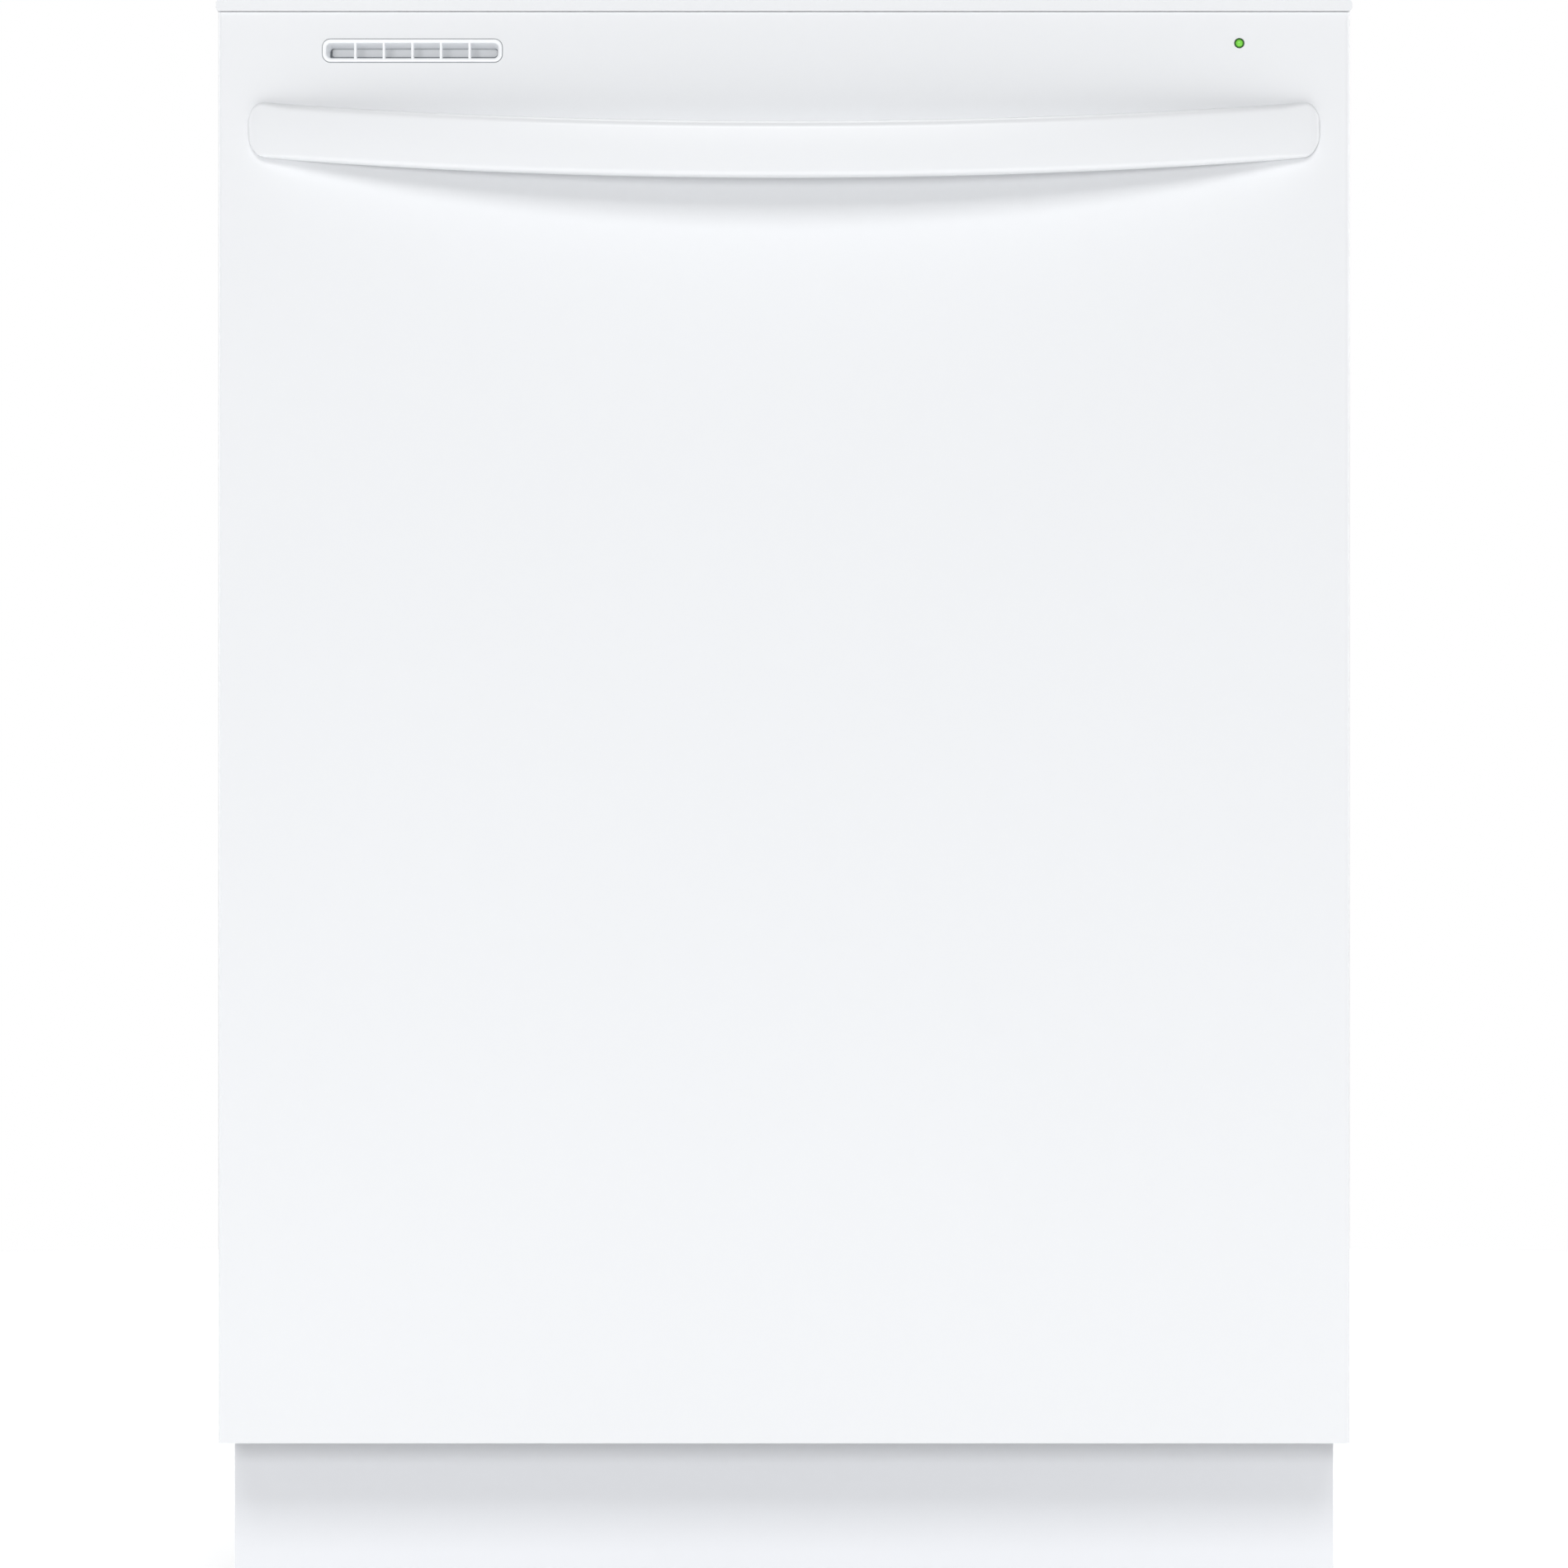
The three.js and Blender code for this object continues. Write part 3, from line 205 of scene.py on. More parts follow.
GREY = surface("grey_moulded", (0.235, 0.25, 0.265), 0.42, tone=0.05, grain=(900, 0.03))
PALE_GREY = surface("pale_grey_moulded", (0.52, 0.54, 0.56), 0.40, tone=0.03, grain=(900, 0.02))
DARK = surface("dark_moulded", (0.028, 0.030, 0.033), 0.48, tone=0.12, grain=(800, 0.05))
RUBBER = surface("seal_rubber", (0.10, 0.105, 0.11), 0.72, tone=0.10, grain=(600, 0.05))
VINYL = surface("rack_vinyl", (0.60, 0.62, 0.64), 0.36, tone=0.03, grain=(500, 0.03), coat=0.15)
# White moulded plastic with a faint emission: painted light that brightens the vent's bezel, ribs and flap
# where they sit in shade.
MOULDED_PAINTED_GLOW = surface("white_moulded_painted_glow", WHITE, 0.36, tone=0.006, grain=(900, 0.004), coat=0.1,
                       glow=((0.95, 0.975, 1.0), 0.13))
STEEL = surface("bright_steel", (0.62, 0.63, 0.65), 0.24, metallic=1.0, tone=0.04, grain=(350, 0.012),
                brushed="Y")
ZINC = surface("zinc_plate", (0.52, 0.54, 0.56), 0.40, metallic=1.0, tone=0.08, grain=(160, 0.02),
               speckle=(150, (0.57, 0.585, 0.60), 0.45), rough_change=0.09)
FELT = surface("felt_mat", (0.150, 0.160, 0.170), 0.95, tone=0.45, grain=(230, 2.2),
               speckle=(330, (0.27, 0.28, 0.29), 0.40), sheen=0.35)
TAPE = surface("foil_tape", (0.70, 0.71, 0.72), 0.30, metallic=1.0, tone=0.06, grain=(90, 0.25),
               rough_change=0.12)
GREEN = surface("lit_lens", (0.16, 0.50, 0.06), 0.18, tone=0.02, glow=((0.16, 0.55, 0.05), 0.35))
GREEN_RIM = surface("lens_rim", (0.03, 0.13, 0.02), 0.35, tone=0.05, grain=(900, 0.01))
TINTED = surface("tinted_cap", (0.30, 0.42, 0.52), 0.14, tone=0.03, clear=0.35, coat=0.3, grain=(500, 0.01))
BRASS = surface("brass", (0.62, 0.44, 0.19), 0.30, metallic=1.0, tone=0.08, grain=(500, 0.02))
HOSE = surface("hose_rubber", (0.055, 0.058, 0.06), 0.55, tone=0.12, grain=(700, 0.06))
HEATER = surface("heater_sheath", (0.30, 0.29, 0.285), 0.42, metallic=1.0, tone=0.18, grain=(500, 0.03),
                 speckle=(60, (0.38, 0.35, 0.32), 0.4), rough_change=0.12)
GLOSS_BLACK = surface("display_glass", (0.012, 0.013, 0.015), 0.10, tone=0.10, coat=0.6, grain=(30, 0.004),
                      rough_change=0.03)


# ---------------------------------------------------------------- mesh helpers
def add_piece(name, data, material, body, replaces=()):
    piece = bpy.data.objects.new(name, data)
    scene.collection.objects.link(piece)
    if not data.materials:
        data.materials.append(material)
    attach(piece, body)
    if replaces:
        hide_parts(*replaces)
    return piece


def add_mesh(name, points, faces, material, body, replaces=(), smooth=True):
    data = bpy.data.meshes.new(name)
    data.from_pydata([tuple(v * MM for v in p) for p in points], [], faces)
    data.validate()
    shape = bmesh.new()
    shape.from_mesh(data)
    bmesh.ops.recalc_face_normals(shape, faces=shape.faces)
    shape.to_mesh(data)
    shape.free()
    if smooth:
        data.polygons.foreach_set("use_smooth", [True] * len(data.polygons))
        data.set_sharp_from_angle(angle=radians(38))
    data.update()
    return add_piece(name, data, material, body, replaces)


def soften(piece, width, segments=2, angle=32):
    bevel = piece.modifiers.new("edge", "BEVEL")
    bevel.width = width * MM
    bevel.segments = segments
    bevel.limit_method = "ANGLE"
    bevel.angle_limit = radians(angle)
    bevel.use_clamp_overlap = True
    weigh = piece.modifiers.new("shading", "WEIGHTED_NORMAL")
    weigh.keep_sharp = True
    return piece


def rounded(points, radius, steps=5, closed=False):
    """The same path with each corner turned into an arc."""
    made = []
    count = len(points)
    for i, p in enumerate(points):
        here = Vector(p)
        if not closed and i in (0, count - 1):
            made.append(here)
            continue
        before = Vector(points[i - 1]) - here
        after = Vector(points[(i + 1) % count]) - here
        reach = min(radius, before.length * 0.49, after.length * 0.49)
        start = here + before.normalized() * reach
        end = here + after.normalized() * reach
        for k in range(steps + 1):
            t = k / steps
            made.append(start * (1 - t) ** 2 + here * 2 * t * (1 - t) + end * t ** 2)
    return made


def wires(name, paths, radius, material, body, replaces=(), resolution=2, tips_from=None):
    """Round wires. Each path is (points, closed). Paths from number tips_from on have a rounded free end."""
    curve = bpy.data.curves.new(name, "CURVE")
    curve.dimensions = "3D"
    curve.bevel_depth = radius * MM
    curve.bevel_resolution = resolution
    curve.use_fill_caps = True
    for number, (points, closed) in enumerate(paths):
        spline = curve.splines.new("POLY")
        spline.points.add(len(points) - 1)
        for point, place in zip(spline.points, points):
            point.co = (*(v * MM for v in place), 1)
        spline.use_cyclic_u = closed
        spline.use_smooth = True
        if tips_from is not None and number >= tips_from:
            for point, share in zip(list(spline.points)[-3:], (1.0, 0.82, 0.35)):
                point.radius = share
    drawn = bpy.data.objects.new(name, curve)
    scene.collection.objects.link(drawn)
    bpy.context.view_layer.update()
    data = bpy.data.meshes.new_from_object(drawn.evaluated_get(bpy.context.evaluated_depsgraph_get()))
    bpy.data.objects.remove(drawn)
    bpy.data.curves.remove(curve)
    data.name = name
    return add_piece(name, data, material, body, replaces)


def axis_frame(axis):
    """An axis, given by its letter or as a vector, and two directions at right angles to it."""
    if isinstance(axis, Vector):
        u = axis.orthogonal().normalized()
    else:
        axis, u = AXES[axis], AXES["X" if axis == "Z" else "Z"]
    return axis, u, axis.cross(u)


def ring_faces(start, rows, sides):
    """The faces between rings of points that follow each other, from point number start."""
    faces = []
    for r in range(rows - 1):
        for k in range(sides):
            a, b = start + r * sides + k, start + r * sides + (k + 1) % sides
            faces.append((a, b, b + sides, a + sides))
    return faces


def turned(name, profile, centre, axis, material, body, sides=48, replaces=()):
    """A lathe about an axis. profile is (radius, distance along the axis), from end to end."""
    along, u, v = axis_frame(axis)
    points = []
    for radius, distance in profile:
        for k in range(sides):
            t = 2 * PI * k / sides
            points.append(Vector(centre) + along * distance + (u * cos(t) + v * sin(t)) * radius)
    faces = ring_faces(0, len(profile), sides)
    if profile[0][0] > 0:
        faces.append(tuple(reversed(range(sides))))
    if profile[-1][0] > 0:
        faces.append(tuple(range((len(profile) - 1) * sides, len(profile) * sides)))
    return add_mesh(name, points, faces, material, body, replaces)


def lofted(name, rings, material, body, replaces=(), closed=False):
    """A skin over rings of points, with flat ends unless closed."""
    count = len(rings[0])
    points = [p for ring in rings for p in ring]
    faces = []
    total = len(rings)
    for r in range(total if closed else total - 1):
        for k in range(count):
            a, b = r * count + k, r * count + (k + 1) % count
            c, d = ((r + 1) % total) * count + (k + 1) % count, ((r + 1) % total) * count + k
            faces.append((a, b, c, d))
    if not closed:
        faces.append(tuple(reversed(range(count))))
        faces.append(tuple(range((total - 1) * count, total * count)))
    return add_mesh(name, points, faces, material, body, replaces)


def blocks(name, boxes, material, body, edge=0.4, replaces=()):
    """Boxes with softened edges, in one piece. Each is (x0, x1, y0, y1, z0, z1)."""
    points, faces = [], []
    for x0, x1, y0, y1, z0, z1 in boxes:
        n = len(points)
        points += [(x, y, z) for z in (z0, z1) for y in (y0, y1) for x in (x0, x1)]
        quads = [(0, 2, 3, 1), (4, 5, 7, 6), (0, 1, 5, 4), (2, 6, 7, 3), (0, 4, 6, 2), (1, 3, 7, 5)]
        faces += [tuple(n + i for i in quad) for quad in quads]
    piece = add_mesh(name, points, faces, material, body, replaces)
    return soften(piece, edge)


def screws(name, places, axis, material, body, radius=3.6, height=1.8):
    """Pan head screws with a six-point recess, in one piece. axis is the way the heads face, such as "-Y"."""
    along, u, v = axis_frame(AXES[axis[-1]] * (-1 if axis[0] == "-" else 1))
    sides = 18
    profile = [(1.0, 0.0), (1.0, 0.35), (0.86, 0.75), (0.6, 0.95), (0.45, 1.0), (0.40, 0.45), (0.0, 0.45)]
    points, faces = [], []
    for place in places:
        start = len(points)
        for k, (r, h) in enumerate(profile):
            for s in range(sides):
                t = 2 * PI * s / sides
                lobe = 1 - 0.22 * (s % 3 == 0) if 4 <= k <= 5 else 1
                offset = (u * cos(t) + v * sin(t)) * radius * r * lobe
                points.append(Vector(place) + along * height * h + offset)
        faces += ring_faces(start, len(profile), sides)
    return add_mesh(name, points, faces, material, body)


def spun(name, profile, centre, axis, material, body, sides=48, replaces=()):
    """A ring with a bore: a closed profile of (radius, distance along the axis) turned about the axis."""
    along, u, v = axis_frame(axis)
    rings = []
    for k in range(sides):
        t = 2 * PI * k / sides
        out = u * cos(t) + v * sin(t)
        rings.append([Vector(centre) + along * distance + out * radius for radius, distance in profile])
    return lofted(name, rings, material, body, replaces, closed=True)


def slab(name, outer, inner, material, body, replaces=()):
    """A closed sheet between two grids of points with the same rows and columns."""
    rows, cols = len(outer), len(outer[0])
    points = [p for grid in (outer, inner) for row in grid for p in row]

    def at(side, i, j):
        return (side * rows + i) * cols + j

    faces = []
    for i in range(rows - 1):
        for j in range(cols - 1):
            faces.append((at(0, i, j), at(0, i, j + 1), at(0, i + 1, j + 1), at(0, i + 1, j)))
            faces.append((at(1, i, j), at(1, i + 1, j), at(1, i + 1, j + 1), at(1, i, j + 1)))
    rim = [(0, j) for j in range(cols - 1)] + [(i, cols - 1) for i in range(rows - 1)]
    rim += [(rows - 1, j) for j in range(cols - 1, 0, -1)] + [(i, 0) for i in range(rows - 1, 0, -1)]
    for a, b in zip(rim, rim[1:] + rim[:1]):
        faces.append((at(0, *a), at(1, *a), at(1, *b), at(0, *b)))
    return add_mesh(name, points, faces, material, body, replaces)


def drill(piece, centre, axis, radius, depth, sides=40):
    """Cuts a round hole through a piece."""
    cutter_data = bpy.data.meshes.new("cutter")
    shape = bmesh.new()
    bmesh.ops.create_cone(shape, cap_ends=True, segments=sides, radius1=radius * MM, radius2=radius * MM,
                          depth=depth * MM)
    shape.to_mesh(cutter_data)
    shape.free()
    cutter = bpy.data.objects.new("cutter", cutter_data)
    turn = {"X": (0, PI / 2, 0), "Y": (PI / 2, 0, 0), "Z": (0, 0, 0)}[axis]
    cutter.rotation_euler = turn
    cutter.location = Vector(centre) * MM
    scene.collection.objects.link(cutter)
    hole = piece.modifiers.new("hole", "BOOLEAN")
    hole.operation = "DIFFERENCE"
    hole.solver = "EXACT"
    hole.object = cutter
    bpy.context.view_layer.update()
    cut = piece.evaluated_get(bpy.context.evaluated_depsgraph_get())
    made = bpy.data.meshes.new_from_object(cut)
    piece.modifiers.remove(hole)
    piece.data = made
    bpy.data.objects.remove(cutter)


def finish_node(node, material, edge=0.5):
    """A CAD node keeps its shape and gets a material, softened edges and smooth shading."""
    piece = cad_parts[node]
    piece.data.materials.clear()
    piece.data.materials.append(material)
    if "custom_normal" in piece.data.attributes:
        piece.data.attributes.remove(piece.data.attributes["custom_normal"])
    piece.data.polygons.foreach_set("use_smooth", [True] * len(piece.data.polygons))
    weld = piece.modifiers.new("weld", "WELD")
    weld.merge_threshold = 0.002 * MM
    soften(piece, edge)


# ---------------------------------------------------------------- handle
HANDLE_END_Z = 787.5
HANDLE_SAG = 13.8
HANDLE_TALL = 29.5


def handle_ring(x, half, reach):
    """The outline of the bar at a place along it. It bows out and sags towards the middle."""
    u = x / half
    end_round = 9.0
    past = max(0.0, abs(x) - (half - end_round)) / end_round
    trim = sqrt(max(0.0, 1 - past * past))
    bow = (1 - u * u) ** 0.95
    gap = 0.3
    outer = FRONT - gap - 3 * trim - (reach - 3 - gap) * bow
    inner = min(outer + 15 - 6 * (1 - bow), FRONT - gap)
    inner = max(inner, outer + 0.2)
    height = HANDLE_TALL * (0.08 + 0.92 * trim)
    middle = HANDLE_END_Z - HANDLE_SAG * bow
    deep = inner - outer
    top_front = min(4.5, deep * 0.5)
    low_front = min(3.0, deep * 0.3)
    back = min(3.0, deep * 0.3)
    corners = [
        (outer, middle - height / 2, low_front, PI, 1.5 * PI),
        (inner, middle - height / 2, back, 1.5 * PI, 2 * PI),
        (inner, middle + height / 2, back, 0, 0.5 * PI),
        (outer, middle + height / 2, top_front, 0.5 * PI, PI),
    ]
    ring = []
    for y, z, r, start, stop in corners:
        r = min(r, height * 0.45)
        cy = y + r if y == outer else y - r
        cz = z + r if z < middle else z - r
        for k in range(9):
            t = start + (stop - start) * k / 8
            ring.append((x, cy + r * cos(t), cz + r * sin(t)))
    for k in range(1, 6):
        t = k / 6
        z = middle + height / 2 - top_front - t * (height - top_front - low_front)
        crown = 0.5 * sin(PI * t) * trim
        ring.append((x, outer - crown, z))
    return ring


def make_handle():
    lo, hi = low_high("handle")
    half = (hi[0] - lo[0]) / 2
    stations = 120
    places = [-half * cos(PI * i / stations) for i in range(stations + 1)]
    rings = [handle_ring(x, half, FRONT - lo[1]) for x in places]
    bar = lofted("handle_bar", rings, MOULDED, "door", ["handle"])
    bar.data.set_sharp_from_angle(angle=radians(60))


make_handle()


# ---------------------------------------------------------------- vent grille, status light and console
def rounded_rectangle(x0, x1, z0, z1, r, steps=8):
    corners = [(x1 - r, z0 + r, 1.5 * PI), (x1 - r, z1 - r, 0), (x0 + r, z1 - r, 0.5 * PI),
               (x0 + r, z0 + r, PI)]
    ring = []
    for x, z, start in corners:
        for k in range(steps + 1):
            t = start + 0.5 * PI * k / steps
            ring.append((x + r * cos(t), z + r * sin(t)))
    return ring


def make_vent():
    lo, hi = low_high("vent_grille")
    wall = 2.1
    x0, x1, z0, z1 = lo[0], hi[0], lo[2], hi[2]
    depth = hi[1]

    def ring(inset, y, r):
        return [(x, y, z) for x, z in rounded_rectangle(x0 + inset, x1 - inset, z0 + inset, z1 - inset, r)]

    # From the skin out over the bead and down the inside of the duct, then back along its outside.
    rings = [
        ring(0, FRONT - 0.3, 4.2), ring(0, FRONT - 0.55, 4.2), ring(0.25, FRONT - 0.78, 4.0),
        ring(0.8, FRONT - 0.8, 3.5), ring(1.3, FRONT - 0.6, 3.2), ring(wall - 0.2, FRONT - 0.2, 2.6),
        ring(wall, FRONT + 0.6, 2.4), ring(wall + 0.5, FRONT + 6, 2.1), ring(wall + 0.6, depth, 2.0),
        ring(1.6, depth, 2.6), ring(1.6, FRONT - 0.28, 2.6),
    ]
    lofted("vent_bezel", rings, MOULDED_PAINTED_GLOW, "door", ["vent_grille"], closed=True)
    # A grey ribbon flush with the skin round the bead: painted shade standing in for the dark gap between the
    # bead and the door's skin.
    shade_width = 0.4
    gap = [ring(-shade_width, FRONT + 0.4, 4.6), ring(-shade_width, FRONT - 0.07, 4.6), ring(0.3, FRONT - 0.07, 4.0),
           ring(0.3, FRONT + 0.4, 4.0)]
    lofted("vent_gap_painted_shade", gap, GREY, "door", closed=True)
    opening = x1 - x0 - 2 * wall
    ribs = []
    for i in range(5):
        middle = x0 + wall + opening * (i + 1) / 6
        ribs.append((middle - 0.65, middle + 0.65, FRONT - 0.35, FRONT + 9, z0 + 1.6, z1 - 1.6))
    blocks("vent_ribs", ribs, MOULDED_PAINTED_GLOW, "door", edge=0.3)

    # A grey seal at the back of the duct that the flap closes on; its edges also stand in as painted shade
    # for the dark lines along the top and bottom of the duct.
    inside = rounded_rectangle(x0 + wall + 1.3, x1 - wall - 1.3, z0 + 5.0, z1 - wall - 0.7, 1.8)
    outside = rounded_rectangle(x0 + 2.75, x1 - 2.75, z0 + 2.75, z1 - 2.75, 1.9)
    far, near = depth - 1.2, depth - 2.6
    rings = [[(x, far, z) for x, z in outside], [(x, near, z) for x, z in outside],
             [(x, near, z) for x, z in inside], [(x, far, z) for x, z in inside]]
    lofted("vent_seal_and_painted_shade", rings, GREY, "door", closed=True)


make_vent()


def make_status_light():
    lo, hi = low_high("status_lens")
    x, z = (lo[0] + hi[0]) / 2, (lo[2] + hi[2]) / 2
    dome = [(0.0, -1.25), (0.5, -1.22), (1.0, -1.05), (1.5, -0.72), (1.85, -0.25), (1.95, 0.3), (1.95, 15.0)]
    turned("status_dome", dome[::-1], (x, FRONT, z), "Y", GREEN, "door", 40, ["status_lens"])
    collar = [(2.0, 14.0), (2.0, -0.15), (2.15, -0.4), (2.4, -0.4), (2.5, -0.15), (2.5, 14.0)]
    rings = []
    for k in range(48):
        t = 2 * PI * k / 48
        rings.append([(x + r * cos(t), FRONT + y, z + r * sin(t)) for r, y in collar])
    lofted("status_rim", rings, GREEN_RIM, "door", closed=True)


make_status_light()

# ---------------------------------------------------------------- insulation
MAT_THICK = 7.4


def wave(a, b):
    """Soft unevenness from about -1 to 1 over a surface, from two distances in millimetres."""
    slow = sin(a / 41 + 1.3) * sin(b / 33 + 0.4)
    quick = 0.5 * sin(a / 17 + b / 23) + 0.35 * sin(a / 11 - b / 13 + 2.0)
    return (slow + quick) / 1.6


def mat_thickness(a, b, studs, a_end, b_end):
    """How thick the felt is at a place on it: thin at its cut edges and drawn in round each stud."""
    dent = sum(2.6 * exp(-((a - p) ** 2 + (b - q) ** 2) / 700) for p, q in studs)
    edge = min(1.0, 0.45 + min(a, a_end - a, b, b_end - b) / 9)
    return max(1.6, (MAT_THICK + 0.75 * wave(a, b) - dent) * edge)


def even(start, stop, step):
    """Evenly spread values from start to stop, with extra ones close to both ends."""
    count = max(2, round((stop - start) / step))
    inner = [start + (stop - start) * i / count for i in range(1, count)]
    return [start, start + 2.5, start + 6, *inner, stop - 6, stop - 2.5, stop]


lo, hi = low_high("insulation_blanket")
WRAP_X = hi[0] - 8
WRAP_TOP = hi[2] - 8
WRAP_FOOT = lo[2]
WRAP_CORNER = 44.5
WRAP_FRONT, WRAP_BACK = lo[1], hi[1]
WRAP_SIDE = WRAP_TOP - WRAP_CORNER - WRAP_FOOT
WRAP_ARC = WRAP_CORNER * PI / 2
WRAP_ROOF = 2 * (WRAP_X - WRAP_CORNER)
WRAP_LENGTH = 2 * WRAP_SIDE + 2 * WRAP_ARC + WRAP_ROOF


def wrap_point(s, y, lift):
    """A place on the wrap, s along it from the foot of the left side over the top, lift out from the tub."""
    if s <= WRAP_SIDE:
        return (-WRAP_X - lift, y, WRAP_FOOT + s)
    if s >= WRAP_LENGTH - WRAP_SIDE:
        return (WRAP_X + lift, y, WRAP_FOOT + WRAP_LENGTH - s)
    s -= WRAP_SIDE
    middle = WRAP_TOP - WRAP_CORNER
    reach = WRAP_CORNER + lift
    if s <= WRAP_ARC:
        t = PI - s / WRAP_CORNER
        return (-WRAP_X + WRAP_CORNER + reach * cos(t), y, middle + reach * sin(t))
    s -= WRAP_ARC
    if s <= WRAP_ROOF:
        return (-WRAP_X + WRAP_CORNER + s, y, WRAP_TOP + lift)
    t = PI / 2 - (s - WRAP_ROOF) / WRAP_CORNER
    return (WRAP_X - WRAP_CORNER + reach * cos(t), y, middle + reach * sin(t))


def make_insulation():
    depth = WRAP_BACK - WRAP_FRONT
    side_s = (130, 430)
    roof_s = (WRAP_SIDE + WRAP_ARC + 70, WRAP_LENGTH - WRAP_SIDE - WRAP_ARC - 70)
    stud_s = (*side_s, *roof_s, *(WRAP_LENGTH - s for s in side_s))
    wrap_studs = [(s, v) for s in stud_s for v in (90, depth - 120)]

    def wrap_thickness(s, v):
        return mat_thickness(s, v, wrap_studs, WRAP_LENGTH, depth)

    outer, inner = [], []
    rows = even(0, depth, 9)
    for s in even(0, WRAP_LENGTH, 9):
        outer.append([wrap_point(s, WRAP_FRONT + v, wrap_thickness(s, v)) for v in rows])
        inner.append([wrap_point(s, WRAP_FRONT + v, 0.25) for v in rows])
    wrap = slab("felt_wrap", outer, inner, FELT, "cabinet", ["insulation_blanket"])
    drill(wrap, (-WRAP_X - 4, 180, 330), "X", 12, 40)

    half = WRAP_X - 1
    foot, top = WRAP_FOOT, WRAP_TOP - 1
    high, wide = top - foot, 2 * half
    back_studs = [(u, w) for u in (100, wide / 2, wide - 100) for w in (150, 400, high - 90)]
    lay_back = WRAP_BACK - 8 + 0.3

    def back_place(u, w):
        """Keeps the mat's top corners round."""
        x, z = u - half, foot + w
        over = z - (top - WRAP_CORNER)
        if over > 0:
            limit = half - WRAP_CORNER + sqrt(max(0.0, WRAP_CORNER ** 2 - over ** 2))
            x *= limit / half
        return x, z

    outer, inner = [], []
    for w in even(0, high, 10):
        rows = [(back_place(u, w), mat_thickness(u, w, back_studs, wide, high)) for u in even(0, wide, 10)]
        outer.append([(x, lay_back + thick, z) for (x, z), thick in rows])
        inner.append([(x, lay_back, z) for (x, z), thick in rows])
    back = slab("felt_back", outer, inner, FELT, "cabinet")

    # Stud washers that hold the mats, each sunk in its dent.
    washer = [(0, 0), (15, 0), (15.2, 0.5), (14.8, 1), (6.5, 1.5), (5.5, 2.6), (3, 3.2), (0, 3.3)]
    for number, (s, v) in enumerate(wrap_studs):
        thick = wrap_thickness(s, v)
        base = Vector(wrap_point(s, WRAP_FRONT + v, thick - 0.4))
        out = (Vector(wrap_point(s, WRAP_FRONT + v, thick + 1)) - base).normalized()
        turned(f"wrap_washer_{number + 1}", washer, base, out, ZINC, "cabinet", 28)
    for number, (u, w) in enumerate(back_studs):
        x, z = back_place(u, w)
        thick = mat_thickness(u, w, back_studs, wide, high)
        turned(f"back_washer_{number + 1}", washer, (x, lay_back + thick - 0.4, z), Vector((0, 1, 0)), ZINC,
               "cabinet", 28)

    # Foil tape round the wrap's front edge and over its middle.
    for name, v0, v1 in (("front", 4, 42), ("middle", depth / 2 - 19, depth / 2 + 19)):
        top_grid, low_grid = [], []
        for s in even(60, WRAP_LENGTH - 60, 9):
            places = [v0 + (v1 - v0) * i / 6 for i in range(7)]
            lifts = [wrap_thickness(s, v) for v in places]
            top_grid.append([wrap_point(s, WRAP_FRONT + v, lift + 0.45) for v, lift in zip(places, lifts)])
            low_grid.append([wrap_point(s, WRAP_FRONT + v, lift + 0.1) for v, lift in zip(places, lifts)])
        slab(f"wrap_tape_{name}", top_grid, low_grid, TAPE, "cabinet")


make_insulation()


# ---------------------------------------------------------------- racks
def rim(x0, x1, y0, y1, z, r):
    return rounded([(x0, y0, z), (x1, y0, z), (x1, y1, z), (x0, y1, z)], r, closed=True), True


def spread(start, stop, pitch):
    count = round((stop - start) / pitch)
    return [start + (stop - start) * i / count for i in range(count + 1)]


def tine(x, y, z0, z1, lean):
    top = (x, y + lean, z1)
    base = (x, y, z0)
    step = Vector(top) - Vector(base)
    length = step.length
    marks = [0, 0.5, (length - 1.4) / length, (length - 0.5) / length, 1]
    return [Vector(base) + step * m for m in marks], False


def make_rack(name, half, y0, y1, rims, floor_z, tine_rows, tine_height, tine_span, floor_shape):
    """rims are the heights of the hoops round the rack, the top one first."""
    inset = 2.6
    hoops = [rim(-half + inset, half - inset, y0 + inset, y1 - inset, z, 26) for z in rims]
    wires(f"{name}_frame", hoops, 2.4, VINYL, name, [name], resolution=3)
    top = rims[0]
    left, right = -half + inset, half - inset
    cross = []
    for y in spread(y0 + 30, y1 - 30, 27):
        path = [(left, y, top), (left + 1, y, floor_z + 30), *((x, y, z) for x, z in floor_shape(right)),
                (right - 1, y, floor_z + 30), (right, y, top)]
        cross.append((rounded(path, 12, 4), False))
    for x in spread(-half + 28, half - 28, 46):
        path = [(x, y0 + inset, top), (x, y0 + inset + 2, floor_z), (x, y1 - inset - 2, floor_z),
                (x, y1 - inset, top)]
        cross.append((rounded(path, 12, 4), False))
    for x in tine_rows:
        cross.append(([(x, tine_span[0] - 6, floor_z + 1), (x, tine_span[1] + 6, floor_z + 1)], False))
    first_tine = len(cross)
    for x in tine_rows:
        for y in spread(*tine_span, 21):
            cross.append(tine(x, y, floor_z + 1, floor_z + tine_height, 7))
    wires(f"{name}_wires", cross, 1.7, VINYL, name, tips_from=first_tine)


def upper_floor(half):
    """The upper rack's floor is lower along its middle."""
    low, high = 519, 533
    return [(-half + 2, high + 2), (-half + 34, high), (-82, low), (82, low), (half - 34, high),
            (half - 2, high + 2)]


def lower_floor(half):
    return [(-half + 2, 200), (half - 2, 200)]


make_rack("upper_rack", 244, -190, 262, (637, 582, 537), 518, (-72, 72), 60, (-128, 214), upper_floor)
make_rack("lower_rack", 230, -185, 255, (327, 262, 199), 199, (-150, -60, 30), 66, (-136, 200), lower_floor)


